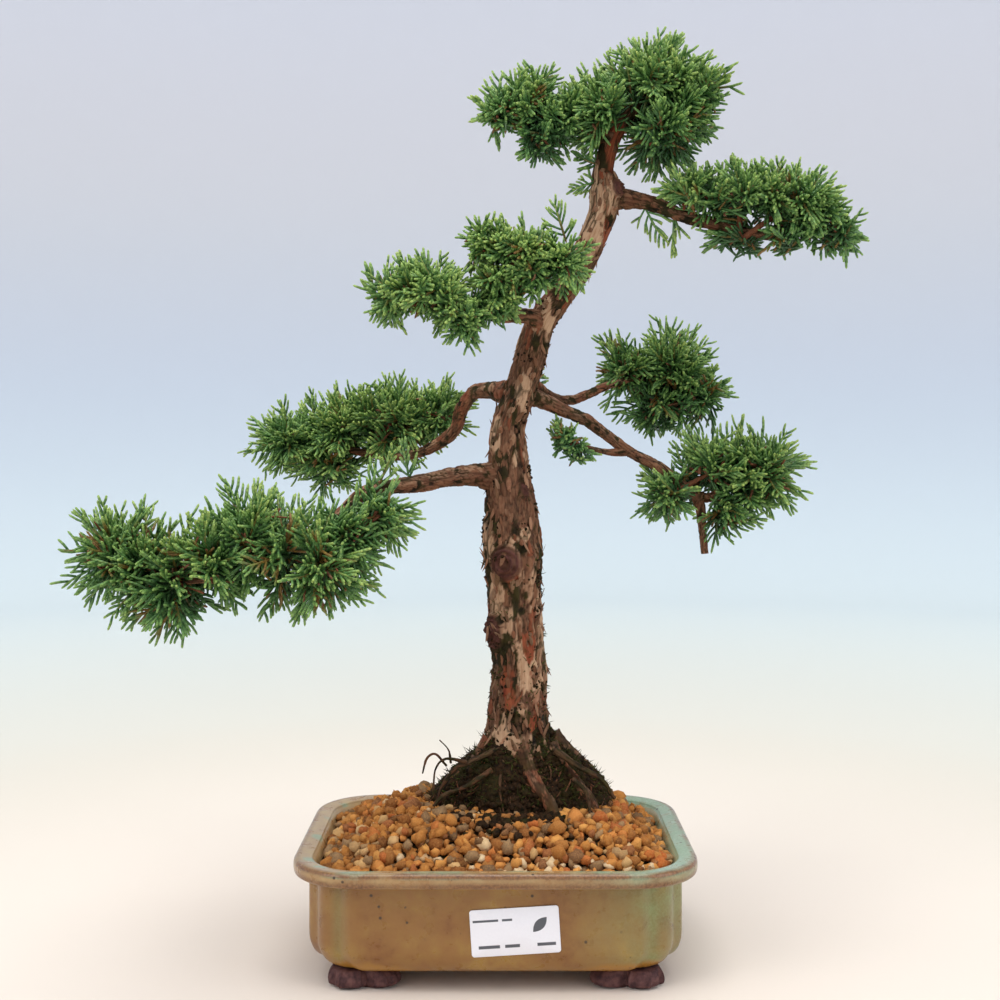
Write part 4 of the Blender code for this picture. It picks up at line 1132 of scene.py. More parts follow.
def wood_values(masks, relief_masks, straight):
    """The bark material's values, with two more for the closing points: the tone is light on high
    plates as the bark's own, painted light on high ridges and painted shade in cracks."""
    # Painted light and shade in the tone: lighter on high ridges, darker in cracks.
    age = np.clip(0.08 + 0.62 * relief_masks["mark"] + 0.55 * (relief_masks["ridge"] - 0.45)
                  - 0.6 * relief_masks["crack"], 0, 1)
    values = {"age": age, **masks}
    values = {name: np.append(value.ravel(), [0.0, 0.0]) for name, value in values.items()}
    values["grain_place"] = np.vstack([straight.reshape(-1, 3) * MM, np.zeros((2, 3))])
    return values


middle, outward, radius, straight, along = tube_grid(TRUNK_ROUTE, 0.66, 128)
surface = middle[:, None] + outward * radius[..., None]
relief, relief_masks = bark_relief(straight, 1.0, 101)
masks = patch_masks(surface, ease(-outward[..., 1], -0.25, 0.15))
knots = knot_mask(surface)
size = np.clip(radius / 12.0, 0.35, 1.2)
height = surface[..., 2] - TREE[2]
flute = 1.6 * (rough_noise(straight, (6.5, 6.5, 90.0), 131, 2) - 0.5) * (1 - ease(height, 30.0, 90.0)) * 2.4
smooth = 1 - 0.75 * np.clip(masks["pale"] + masks["fresh"], 0, 1)
swell = 4.4 * knots - 2.4 * ease(knots, 0.78, 1.0) + 0.9 * np.sin(26 * knots) * ease(knots, 0.05, 0.2)
surface = surface + outward * ((relief * size * smooth + flute - 0.5 * masks["fresh"]
                                + 0.35 * masks["pale"] + swell * size))[..., None]
scatter = rough_noise(surface, (5.0, 5.0, 9.0), 141, 3)
crack, mark = relief_masks["crack"], relief_masks["mark"]
splashed = ease(46.0 - height + 26 * (scatter - 0.5), 0.0, 16.0)
masks["dirt"] = np.clip(masks["dirt"] + 0.85 * crack * (scatter > 0.5)
                        + ease(scatter, 0.60, 0.66) * (1 - masks["pale"])
                        + splashed * (1 - masks["pale"]) * (1 - masks["fresh"]), 0, 1)
masks["pale"] = np.clip(masks["pale"] + ease(mark, 0.68, 0.74) * (1 - crack) * 0.8, 0, 1)
masks["fresh"] = np.clip(masks["fresh"] + ease(mark, 0.56, 0.58) * (1 - ease(mark, 0.61, 0.63)) * 0.6, 0, 1)
masks["knot"] = ease(knots, 0.15, 0.5) * (0.8 + 0.2 * np.sin(26 * knots))
for label in ("dirt", "fresh", "pale"):
    masks[label] = masks[label] * (1 - 0.85 * ease(knots, 0.2, 0.5))
points, faces = closed_grid(surface, middle[0], middle[-1])
add_piece("flaking_trunk", points, faces, bark, "bark", ["trunk"],
          **wood_values(masks, relief_masks, straight))
trunk_surface, trunk_outward = surface, outward

# %% [markdown]
# ## Limbs and surface roots
# The limbs use the same recipe with finer plates, because their bark is younger. The surface
# roots are limbs too: short ones that leave the flare and dive into the mound.

# %% Limbs
# For each limb, one route or more: place from the tree's foot, and radius
LIMB_ROUTES = {
    "limb_lower_left": [
        [(-8, 1, 171, 6.0), (-21, -4, 172, 5.2), (-36, -12, 171, 4.4), (-46, -18, 169, 4.0),
         (-70, -34, 165, 3.4), (-82, -42, 155, 3.2), (-104, -52, 142, 3.0), (-133, -60, 133, 2.6),
         (-162, -64, 136, 1.8)]],
    "limb_mid_left": [
        [(-4, 3, 211, 5.0), (-12, 13, 213, 4.4), (-22, 24, 213, 3.8), (-29, 33, 205, 3.4),
         (-32, 39, 196, 3.2), (-39, 45, 189, 3.0), (-54, 54, 182, 2.6), (-72, 62, 181, 2.2),
         (-104, 70, 187, 1.6)]],
    "limb_upper_left": [
        [(10, -1, 245, 4.4), (2, -12, 247, 3.4), (-14, -24, 246, 2.8), (-28, -34, 249, 2.4),
         (-46, -41, 252, 1.8), (-58, -44, 254, 1.4)],
        [(-4, -17, 247, 2.2), (-6, -24, 255, 1.9), (-8, -30, 261, 1.6), (0, -34, 269, 1.2)]],
    "limb_crown_left": [
        [(42, -6, 330, 3.2), (32, -7, 335, 2.4), (20, -9, 340, 2.0), (4, -11, 345, 1.4)]],
    "limb_upper_right": [
        [(39, -3, 303, 5.0), (50, -4, 303, 4.2), (63, -6, 300, 3.6), (76, -10, 294, 3.2),
         (89, -14, 290, 3.0), (103, -19, 285, 2.4), (120, -23, 282, 1.8)]],
    "limb_mid_right": [
        [(0, 1, 211, 4.6), (10, 6, 208, 3.6), (22, 10, 203, 3.2), (33, 13, 198, 3.0),
         (43, 16, 191, 2.9), (54, 18, 183, 2.8), (68, 18, 176, 2.7), (81, 18, 166, 2.5),
         (89, 18, 161, 2.6), (96, 19, 162, 2.0), (104, 20, 171, 1.6), (112, 20, 180, 1.2)],
        [(87, 18, 163, 2.4), (89, 18, 154, 2.2), (90, 18, 144, 2.0), (91, 18, 133, 1.8)],
        [(52, 18, 184, 2.0), (44, 15, 183, 1.4), (34, 11, 185, 1.2), (25, 9, 188, 1.0)]],
    "limb_mid_right_back": [
        [(2, 3, 220, 3.6), (8, 14, 215, 3.0), (16, 22, 210, 2.8), (25, 27, 209, 2.6), (34, 33, 212, 2.4),
         (45, 41, 217, 2.0), (58, 49, 221, 1.6), (72, 58, 225, 1.2)]],
}
# How pale and how reddish each limb's young bark is
LIMB_TONES = {"limb_lower_left": (0.45, 0.1), "limb_mid_left": (0.55, 0.55), "limb_upper_left": (0.1, 0.2),
              "limb_crown_left": (0.1, 0.2), "limb_upper_right": (0.15, 0.25), "limb_mid_right": (0.3, 0.2),
              "limb_mid_right_back": (0.35, 0.45)}


def stem_arrays(route, seed, pale, fresh, pitch=0.6, spacing=0.62):
    """A bark-covered stem: points, faces and values. Its surface is middle + outward * (radius *
    flare + relief), where the flare widens the first few millimetres at the trunk."""
    thickest = max(station[3] for station in route)
    sides = int(np.clip(2 * pi * thickest / spacing, 14, 56))
    middle, outward, radius, straight, along = tube_grid(route, pitch, sides)
    relief, relief_masks = bark_relief(straight, 0.5, seed, (3.2, 3.2, 13.0))
    size = np.clip(radius / 4.0, 0.3, 1.2)
    bumps = 0.9 * (rough_noise(straight, (6.0, 6.0, 8.0), seed + 3, 2) - 0.5)
    flare = 1 + 0.55 * np.exp(-along[:, None] / 7.0)
    surface = middle[:, None] + outward * (radius * flare + (relief + bumps) * size)[..., None]
    scatter = rough_noise(surface, (3.5, 3.5, 3.5), seed + 5, 3)
    # Pale patches on the limbs keep to their upper side: painted light from above.
    upper = ease(outward[..., 2], -0.3, 0.5)
    crack = relief_masks["crack"]
    masks = {"pale": np.clip(pale * upper * ease(scatter, 0.38, 0.55) * 1.4 * (1 - crack), 0, 1),
             "fresh": np.clip(fresh * ease(rough_noise(straight, (5, 5, 16), seed + 9), 0.42, 0.6), 0, 1),
             "dirt": np.clip(0.9 * crack * (scatter > 0.45) + ease(scatter, 0.62, 0.68), 0, 1),
             "knot": 0 * scatter}
    points, faces = closed_grid(surface, middle[0], middle[-1])
    return points, faces, wood_values(masks, relief_masks, straight)


def joined(parts):
    """Several (points, faces, values) as one, with each part's faces moved on by the points
    before it."""
    points = np.concatenate([part[0] for part in parts])
    starts = np.cumsum([0] + [len(part[0]) for part in parts])
    faces = [block + start for part, start in zip(parts, starts) for block in part[1]]
    values = {name: np.concatenate([part[2][name] for part in parts]) for name in parts[0][2]}
    return points, faces, values


for number, (name, routes) in enumerate(LIMB_ROUTES.items()):
    pale, fresh = LIMB_TONES[name]
    stems = [stem_arrays(route, 200 + 20 * number + k, pale, fresh) for k, route in enumerate(routes)]
    points, faces, values = joined(stems)
    add_piece(name + "_bark", points, faces, bark, "bark", [name], **values)

# %% [markdown]
# ### Surface roots
# Each root leaves the flare of the trunk and runs down over the mound into the gravel. Noise
# lays soil over parts of it.

# %% Surface roots
ROOT_ROUTES = [
    [(0, -12, 41, 4.5), (6, -22, 29, 3.6), (14, -29, 18, 3.0), (17, -33, 7, 2.2)],
    [(12, -6, 41, 4.5), (23, -11, 29, 3.8), (32, -16, 19, 3.0), (37, -20, 9, 2.2)],
    [(14, 2, 43, 5.0), (27, 2, 33, 4.2), (37, 3, 23, 3.2), (45, 4, 10, 2.2)],
    [(-13, -4, 43, 4.5), (-24, -6, 32, 3.4), (-34, -7, 23, 2.8), (-43, -9, 10, 2.0)],
    [(-12, 6, 41, 5.0), (-24, 13, 29, 3.8), (-32, 19, 17, 3.0), (-38, 23, 7, 2.2)],
    [(4, 12, 41, 5.0), (10, 20, 29, 3.8), (15, 26, 17, 3.0), (18, 30, 7, 2.2)],
]
stems = [stem_arrays(route, 400 + k, 0.2, 0.55) for k, route in enumerate(ROOT_ROUTES)]
points, faces, values = joined(stems)
values["dirt"] = 0.8 * np.clip(values["dirt"] + ease(rough_noise(points, 4.0, 431), 0.48, 0.6), 0, 1)
values["age"] = 0.66 * values["age"]
add_piece("surface_roots", points, faces, bark, "bark", **values)

# %% [markdown]
# ## Many thin tubes at once
# Foliage cords, twigs, hairs, moss and bark flakes are all thin closed tubes. One function
# makes any number of them: each has a short path, a radius at every station and a round or a
# flattened section. There is no loop at all, only arrays.

# %% Tubes by the thousand
def tubes(paths, radii, sides=5, across=None, flatness=1.0):
    """Closed tubes (count, stations, 3). The first and last stations are the tips and the
    others carry a ring: middle + radius * (across * cos + flatness * up * sin). Returns points,
    faces, each point's share of the way along and the flat places for painting."""
    count, stations = paths.shape[:2]
    chord = paths[:, -1] - paths[:, 0]
    chord /= np.linalg.norm(chord, axis=1, keepdims=True)
    across = np.cross(chord, (0.31, 0.52, 0.79)) if across is None else across
    across = across - chord * (across * chord).sum(1, keepdims=True)
    across /= np.linalg.norm(across, axis=1, keepdims=True)
    up = np.cross(chord, across) * flatness
    angle = np.linspace(0, 2 * pi, sides, endpoint=False)[:, None]
    ring = across[:, None] * np.cos(angle) + up[:, None] * np.sin(angle)
    rings = paths[:, 1:-1, None] + radii[:, :, None, None] * ring[:, None]
    points = np.concatenate([rings.reshape(count, -1, 3), paths[:, :1], paths[:, -1:]], axis=1)
    _, (quads, caps) = closed_grid(np.zeros((stations - 2, sides, 3)), (0, 0, 0), (0, 0, 0))
    offset = (len(points[0]) * np.arange(count))[:, None, None]
    share = np.linspace(0, 1, stations)
    share = np.concatenate([np.repeat(share[1:-1], sides), [0.0, 1.0]])
    faces = [(quads + offset).reshape(-1, 4), (caps + offset).reshape(-1, 3)]
    corner_share = [share[quads], share[caps]]
    column = np.arange(sides)
    quad_turn = np.tile(np.stack([column, column + 1, column + 1, column], -1), (stations - 3, 1)) / sides
    cap_turn = np.stack([column + 0.5, column + 1, column], -1) / sides
    cap_turn = np.vstack([cap_turn, np.stack([column + 0.5, column, column + 1], -1) / sides])
    cells = [bake_cells(count, turn, along) for turn, along in zip([quad_turn, cap_turn], corner_share)]
    return points.reshape(-1, 3), faces, np.tile(share, count), np.concatenate(cells)


def bake_cells(count, turn, along):
    """Flat places for painting: a square sheet of cells, one to a shape, with the way round it
    across the cell and the way along it up the cell, and a margin all round."""
    side = int(np.ceil(sqrt(count)))
    number = np.arange(count)
    cell = np.stack([number % side, number // side], -1)
    inside = 0.14 + 0.72 * np.stack([turn, along], -1).reshape(-1, 2)
    return ((cell[:, None] + inside) / side).reshape(-1, 2)


def curved_paths(start, forward, bend, shares):
    """Paths from a start: start + forward * t + bend * t * t, at the given shares t."""
    t = np.asarray(shares)[None, :, None]
    return start[:, None] + forward[:, None] * t + bend[:, None] * t * t


def unit(vectors):
    """Vectors of length 1."""
    return vectors / np.linalg.norm(vectors, axis=-1, keepdims=True)


straight_tube = np.linspace((0.0, 0.0, 0.0), (0.0, 0.0, 9.0), 5)[None]
print("points in a tube of 5 stations:", len(tubes(straight_tube, np.ones((1, 3)))[0]))

# %% [markdown]
# ## Foliage
# A juniper's green is not needles but cords: shoots sheathed in scale leaves, about 1.3 mm thick,
# that fork like a comb and all lean forward. Particle hair could be combed into such sprays, but
# each spray is really the same small plan: an axis, side cords left and right that shorten
# towards the tip, and a few forks on the lowest ones. So a spray is written once as a table of
# angles and lengths, and thousands are placed by arrays over the lobes of each pad.

# %% Pads and their lobes
# Each lobe: its middle from the tree's foot, and its half sizes
PADS = {
    "foliage_crown": [
        ((38, -6, 341), (21, 32, 22)), ((61, -4, 353), (25, 38, 25)), ((82, -9, 348), (15, 30, 21)),
        ((65, -10, 331), (24, 32, 20)),
    ],
    "foliage_crown_left": [
        ((-9, -14, 341), (14, 20, 15)), ((8, -8, 347), (15, 23, 20)), ((9, -12, 329), (15, 20, 15)),
        ((24, -9, 341), (13, 20, 17)),
    ],
    "foliage_upper_right": [
        ((80, -18, 303), (19, 24, 14)), ((101, -20, 299), (20, 30, 20)), ((126, -23, 297), (23, 32, 21)),
        ((144, -25, 284), (13, 20, 13)), ((101, -22, 281), (19, 24, 14)),
    ],
    "foliage_upper_left_outer": [
        ((-60, -44, 252), (15, 22, 17)), ((-41, -44, 254), (18, 28, 19)),
        ((-26, -39, 243), (14, 24, 15)), ((-11, -37, 249), (13, 16, 12)),
    ],
    "foliage_upper_left_inner": [
        ((-17, -36, 276), (12, 18, 13)), ((-1, -38, 272), (16, 23, 16)),
        ((18, -40, 268), (15, 20, 16)), ((-10, -38, 258), (15, 18, 13)), ((5, -37, 260), (13, 16, 11)),
    ],
    "foliage_mid_left": [
        ((-121, 70, 188), (24, 26, 23)), ((-92, 70, 193), (24, 30, 25)), ((-64, 68, 199), (25, 30, 25)),
        ((-40, 62, 201), (17, 22, 21)), ((-100, 68, 175), (24, 24, 16)),
    ],
    "foliage_lower_left": [
        ((-177, -62, 137), (26, 28, 25)), ((-149, -67, 127), (26, 33, 30)),
        ((-119, -61, 142), (29, 34, 29)), ((-88, -64, 135), (28, 33, 31)),
        ((-62, -56, 155), (18, 22, 22)),
    ],
    "foliage_mid_right_back": [
        ((55, 60, 224), (21, 26, 23)), ((79, 62, 225), (25, 30, 26)), ((95, 57, 211), (16, 24, 21)),
        ((70, 56, 205), (22, 24, 16)),
    ],
    "foliage_mid_right": [
        ((72, 16, 161), (19, 24, 20)), ((94, 17, 173), (23, 28, 24)), ((119, 16, 174), (25, 29, 26)),
        ((100, 18, 151), (20, 25, 18)),
    ],
    "foliage_mid_tuft": [
        ((21, 8, 189), (9, 10, 11)), ((30, 10, 183), (7, 8, 7)),
    ],
}

# Stretches of wood that show in front of their pads: x and z of both ends from the tree's foot,
# how far the gap reaches on either side, and the y in front of which nothing grows
WOOD_SHOWS = [
    ((38, 310), (53, 346), 9.0, -10.0), ((48, 304), (104, 285), 5.5, -21.0),
    ((-62, 167), (-82, 157), 5.0, -30.0), ((48, 188), (92, 163), 9.5, 19.0),
    ((89, 163), (91, 131), 7.5, 19.0), ((-29, 206), (-40, 188), 6.0, 46.0),
    ((-40, 188), (-66, 181), 5.0, 52.0),
]


def hides_wood(tips):
    """Which tips stand in front of a stretch of wood that shows."""
    x, y, z = (tips - TREE).T
    hidden = np.zeros(len(tips), bool)
    for (x1, z1), (x2, z2), reach, front in WOOD_SHOWS:
        long_x, long_z = x2 - x1, z2 - z1
        share = np.clip(((x - x1) * long_x + (z - z1) * long_z) / (long_x ** 2 + long_z ** 2), 0, 1)
        away = np.hypot(x - x1 - share * long_x, z - z1 - share * long_z)
        hidden |= (away < reach) & (y < front)
    return hidden


def with_bridges(lobes):
    """A pad's lobes with one more between each pair of neighbours, so it reads as one cloud."""
    middles = [(tuple(np.add(a[0], b[0]) / 2), tuple(0.47 * np.add(a[1], b[1])))
               for a, b in zip(lobes[:-1], lobes[1:])]
    return lobes + middles


print("pads:", len(PADS), "with", sum(len(lobes) for lobes in PADS.values()), "lobes")

# %% [markdown]
# ### Where sprays grow
# Sprays end on the skin of a pad, a little in or out as the pad's tufts go, and point outwards.
# Directions spread by the golden angle cover a lobe evenly. A tip that another lobe would
# swallow is dropped, and fewer grow on the underside, where there is little light.

# %% Where the sprays of a pad grow
def sphere_spread(count, rng):
    """Even directions: heights 1 - 2 (i + 0.5) / count, each turned on by the golden angle."""
    index = np.arange(count) + 0.5
    height = 1 - 2 * index / count
    turn = pi * (1 + sqrt(5)) * index + rng.uniform(0, 2 * pi)
    ring = np.sqrt(1 - height ** 2)
    ways = np.stack([ring * np.cos(turn), ring * np.sin(turn), height], -1)
    return unit(ways + rng.normal(0, 0.10, ways.shape))


def pad_depth(points, lobes):
    """How far out a point lies in its pad: 0 at a lobe's middle, 1 on the pad's skin."""
    away = [np.linalg.norm((points - TREE - centre) / np.array(radii, dtype=float), axis=-1)
            for centre, radii in lobes]
    return np.min(away, axis=0)


def spray_spots(lobes, area, reach_low, reach_high, rng):
    """Tips and growing directions of the sprays: one for each stretch of skin of that area in
    square millimetres, none where another lobe covers it, and fewer on the underside."""
    tips, ways = [], []
    for number, (centre, radii) in enumerate(lobes):
        radii = np.array(radii, dtype=float)
        powers = (radii * np.roll(radii, 1)) ** 1.6
        skin = 4 * pi * powers.mean() ** (1 / 1.6)
        way = sphere_spread(int(skin / area), rng)
        way = way[rng.random(len(way)) < 1.0 - 0.42 * ease(-way[:, 2], 0.15, 0.8)]
        tuft = rough_noise(TREE + centre + radii * way, 15.0, 61 + number, 2)
        way = way[tuft > 0.34]
        tuft = ease(tuft[tuft > 0.34], 0.32, 0.66) * 0.7 + 0.3 * rng.random(len(way))
        reach = reach_low + (reach_high - reach_low) * tuft[:, None]
        tip = TREE + centre + radii * way * reach
        others = [lobe for k, lobe in enumerate(lobes) if k != number]
        bare = pad_depth(tip, others) > min(0.84, reach_low)
        tips.append(tip[bare])
        ways.append(unit(way[bare] / radii))
    return np.concatenate(tips), np.concatenate(ways)


print("highest and lowest of 200 even directions:",
      sphere_spread(200, np.random.default_rng(3))[[0, -1], 2].round(2))

# %% [markdown]
# ### The plan of a spray
# The side cords share four rows of numbers: where on the axis each leaves, to which side, how
# far it leans out, and how long it is as a share of the axis. Forks leave the lowest side cords.

# %% Spray plan
SIDES = 11
SIDE_SHARES = np.linspace(0.10, 0.90, SIDES)
SIDE_SIGNS = np.where(np.arange(SIDES) % 2 == 0, 1.0, -1.0)
SIDE_LEANS = np.radians(np.linspace(56.0, 32.0, SIDES))
SIDE_LENGTHS = np.linspace(0.62, 0.27, SIDES)
FORKS = np.arange(4)


def spray_cords(tips, ways, lengths, rng, lift):
    """Starts, forward vectors and bends of every cord. The axis starts at tip - way * length and
    is then turned a little. A side cord leaves it at start + axis * share, leans out by its angle
    in the spray's plane, and bends back towards the axis. A fork leaves a side cord halfway."""
    count = len(tips)
    root = tips - ways * lengths[:, None]
    way = unit(ways + rng.normal(0, 0.27, ways.shape) + (0.0, 0.0, lift))
    flat = unit(np.cross(way, rng.normal(size=(count, 3))))
    thick = np.cross(way, flat)
    axis_bend = 0.16 * lengths[:, None] * (flat * rng.normal(size=(count, 1)) + (0, 0, 0.35))
    share = SIDE_SHARES + rng.uniform(-0.03, 0.03, (count, SIDES))
    start = (root[:, None] + way[:, None] * (lengths[:, None] * share)[..., None]
             + axis_bend[:, None] * (share ** 2)[..., None])
    lean = SIDE_LEANS * rng.uniform(0.75, 1.25, (count, SIDES))
    roll = rng.normal(0, 0.30, (count, SIDES))
    out = (flat[:, None] * (SIDE_SIGNS * np.cos(roll))[..., None]
           + thick[:, None] * np.sin(roll)[..., None])
    heading = way[:, None] * np.cos(lean)[..., None] + out * np.sin(lean)[..., None]
    size = lengths[:, None] * SIDE_LENGTHS * rng.uniform(0.7, 1.3, (count, SIDES))
    forward = heading * size[..., None]
    bend = (way[:, None] - heading) * (0.30 * size)[..., None]
    fork_start = start[:, FORKS] + 0.42 * forward[:, FORKS] + 0.18 * bend[:, FORKS]
    swerve = 0.62 * unit(rng.normal(size=(count, len(FORKS), 3)))
    fork_forward = unit(heading[:, FORKS] + swerve) * (0.52 * size[:, FORKS])[..., None]
    starts = np.concatenate([root[:, None], start, fork_start], 1)
    forwards = np.concatenate([(way * lengths[:, None])[:, None], forward, fork_forward], 1)
    bends = np.concatenate([axis_bend[:, None], bend, 0.12 * fork_forward], 1)
    return starts, forwards, bends


CORDS_IN_SPRAY = 1 + SIDES + len(FORKS)
print("cords in a spray:", CORDS_IN_SPRAY)

# %% [markdown]
# ### Leaf colour
# Old green sits at the root of a cord and young yellow green at its tip. Over that lies painted
# light and shade: the tips are yellower high in a pad and near its skin, and cords deep inside
# are painted dark as shade. A sine along the cord gives the pattern of overlapping scales, and
# some cords have dried to straw.

# %% Leaf material
SCALE_PITCH = 1.25     # millimetres from one scale to the next
leaf, tree, shader, place = blank_material("scale_leaves")
tip, sun, lush, way_along = (stored(tree, name) for name in ("tip", "sun", "lush", "way_along"))
old_green = mix(tree, lush, tone(58, 98, 52), tone(94, 140, 74))
young_green = mix(tree, lush, tone(146, 188, 84), tone(210, 224, 112))
wave = maths(tree, 'SINE', maths(tree, 'MULTIPLY', way_along, 2 * pi / SCALE_PITCH))
# Painted light: the tips turn young yellow green where the pad is lit, high and near its skin.
tip_green = mix(tree, spread(tree, sun, 0.1, 0.9), tone(84, 138, 66), young_green)
green = mix(tree, spread(tree, tip, 0.35, 1.0), old_green, tip_green)
green = mix(tree, spread(tree, wave, -1.0, 1.0, 0.0, 0.32), green, tone(24, 56, 28))
straw = mix(tree, place_mottle(tree, place, 2.0), tone(142, 118, 50), tone(116, 70, 40))
# Painted shade: cords deep inside and low in a pad are darkened.
green = mix(tree, spread(tree, sun, 0.0, 0.3, 0.6, 0.0), green, tone(20, 42, 22))
green = mix(tree, stored(tree, "woody"), green, straw)
scales = node(tree, "Bump", {"Height": wave, "Distance": 0.12 * MM, "Strength": 0.6})
gloss = spread(tree, place_mottle(tree, place, 3.0), 0.0, 1.0, 0.38, 0.56)
dress(shader, Base_Color=green, Roughness=gloss, Normal=scales.outputs["Normal"])
print("leaf:", len(tree.nodes), "nodes")

# %% [markdown]
# ### Planting the pads
# Every pad gets an outer coat of sprays and a thinner inner one, without those that would hide
# wood which shows. A few single sprigs grow straight from bare wood and are counted with the
# pad that is nearest.

# %% Sprays on every pad
CORD_SHARES = (0.0, 0.07, 0.52, 0.9, 1.0)
CORD_RADII = np.array([0.82, 1.0, 0.84])
CORD_RADIUS = 0.63     # millimetres at a cord's thickest
RISE = 0.10            # how much every spray turns up towards the light
# Sprigs that grow straight from bare wood: pad they are counted with, root, tip
SPRIGS = [
    ("foliage_upper_right", (58, -6, 300), (62, -9, 279)),
    ("foliage_upper_right", (72, -8, 296), (76, -12, 276)),
    ("foliage_crown", (37, -6, 311), (24, -9, 304)),
    ("foliage_crown", (38, -6, 318), (24, -8, 319)),
    ("foliage_upper_left_inner", (20, -38, 277), (11, -38, 294)),
    ("foliage_mid_right_back", (6, 14, 216), (15, 20, 226)),
    ("foliage_lower_left", (-52, -22, 169), (-44, -26, 185)),
    ("foliage_lower_left", (-66, -32, 166), (-56, -36, 184)),
]


def foliage_piece(name, tips, ways, lengths, lobes, seed, stands_for, light):
    """Every spray of a pad as one piece, with the values that colour it: the painted light and
    shade grows with height in the pad and towards its skin, and woody marks old axes and dry cords."""
    rng = np.random.default_rng(seed)
    starts, forwards, bends = spray_cords(tips, ways, lengths, rng, RISE)
    sprays, cords = starts.shape[:2]
    starts, forwards, bends = (block.reshape(-1, 3) for block in (starts, forwards, bends))
    count = len(starts)
    radii = CORD_RADIUS * rng.uniform(0.9, 1.12, (count, 1)) * CORD_RADII
    points, faces, share, cells = tubes(curved_paths(starts, forwards, bends, CORD_SHARES), radii)
    per_cord = len(points) // count
    lush = np.repeat(np.repeat(rng.random(sprays), cords) * 0.7 + 0.3 * rng.random(count), per_cord)
    axis = np.tile(np.arange(cords) == 0, sprays) * np.repeat(rng.random(sprays) < 0.55, cords)
    dry = np.repeat(rng.random(sprays) < 0.07, cords) * (rng.random(count) < 0.5)
    depth = pad_depth(points, lobes)
    woody = np.repeat(axis.astype(float), per_cord) * (1 - ease(share, 0.3, 0.8))
    woody = np.clip(woody + np.repeat(dry.astype(float), per_cord) * (1 - ease(depth, 0.7, 0.95)), 0, 1)
    low, high = points[:, 2].min(), points[:, 2].max()
    # Painted light and shade: lighter high in the pad and near its skin, darker deep inside; each pad adds
    # its own painted light.
    sun = np.clip(0.14 + light + 0.60 * (points[:, 2] - low) / (high - low) + 1.1 * (depth - 0.72), 0, 1)
    way_along = share * np.repeat(np.linalg.norm(forwards, axis=1), per_cord)
    return add_piece(name, points, faces, leaf, "foliage", stands_for, tip=share, sun=sun, lush=lush,
                     woody=woody, way_along=way_along, OFBake=cells)


# Square millimetres of skin to a spray: the crown is dense and the low pads are open
INNER_COAT = 1.7       # how many times as open the inner coat is
OPENNESS = {"foliage_crown": 118.0, "foliage_crown_left": 140.0, "foliage_upper_right": 165.0,
            "foliage_upper_left_outer": 158.0, "foliage_upper_left_inner": 158.0, "foliage_mid_left": 178.0,
            "foliage_lower_left": 200.0, "foliage_mid_right_back": 190.0, "foliage_mid_right": 205.0,
            "foliage_mid_tuft": 130.0}
# How much more painted light a pad's green gets than the crown's, which makes it lighter and more yellow
PAD_PAINTED_LIGHT = {"foliage_upper_left_outer": 0.26, "foliage_upper_left_inner": 0.30, "foliage_mid_left": 0.20,
           "foliage_lower_left": 0.08, "foliage_mid_right": 0.10, "foliage_mid_right_back": 0.06}
pad_sprays = {}
for number, (node_name, lobes) in enumerate(PADS.items()):
    rng = np.random.default_rng(900 + number)
    lobes = with_bridges(lobes)
    outer = spray_spots(lobes, OPENNESS[node_name], 0.78, 1.06, rng)
    inner = spray_spots(lobes, INNER_COAT * OPENNESS[node_name], 0.50, 0.74, rng)
    tips, ways = (np.concatenate(pair) for pair in zip(outer, inner))
    clear = ~(hides_wood(tips) | hides_wood(tips - 9.0 * ways))
    tips, ways = tips[clear], ways[clear]
    smallest = min(min(radii) for _, radii in lobes)
    lengths = np.minimum(rng.uniform(20.0, 34.0, len(tips)), 6.0 + 1.1 * smallest)
    for _, root, tip in [sprig for sprig in SPRIGS if sprig[0] == node_name]:
        reach = np.subtract(tip, root)
        tips = np.vstack([tips, TREE + tip])
        ways = np.vstack([ways, unit(reach)])
        lengths = np.append(lengths, np.linalg.norm(reach))
    pad_sprays[node_name] = (tips, ways, lengths)
    foliage_piece(node_name.replace("foliage", "sprays"), tips, ways, lengths, lobes,
                  700 + 10 * number, [node_name], PAD_PAINTED_LIGHT.get(node_name, 0.0))
print("sprays:", sum(len(tips) for tips, _, _ in pad_sprays.values()))

# %% [markdown]
# ## Twigs inside the pads
# A pad hangs together on wood: thicker twigs join the middles of its lobes and thinner ones run
# out to the roots of the sprays. They show as brown threads between the greens.

# %% Twigs
def bark_threads(name, paths, radii, rng, sides=6, flatness=1.0, across=None, **shares):
    """Thin bark-covered tubes as one piece. Each tube has its own share, up to the one given,
    of pale, fresh and dirt, and its own bark tone between the two given."""
    points, faces, share, cells = tubes(paths, radii, sides, across, flatness)
    per_tube = len(points) // len(paths)
    even = {label: np.repeat(shares.get(label, 0.0) * rng.random(len(paths)), per_tube)
            for label in ("pale", "fresh", "dirt", "knot")}
    age = np.repeat(rng.uniform(*shares.get("age", (0.15, 0.7)), len(paths)), per_tube)
    return add_piece(name, points, faces, bark, "bark", age=age, grain_place=points * MM,
                     OFBake=cells, **even)


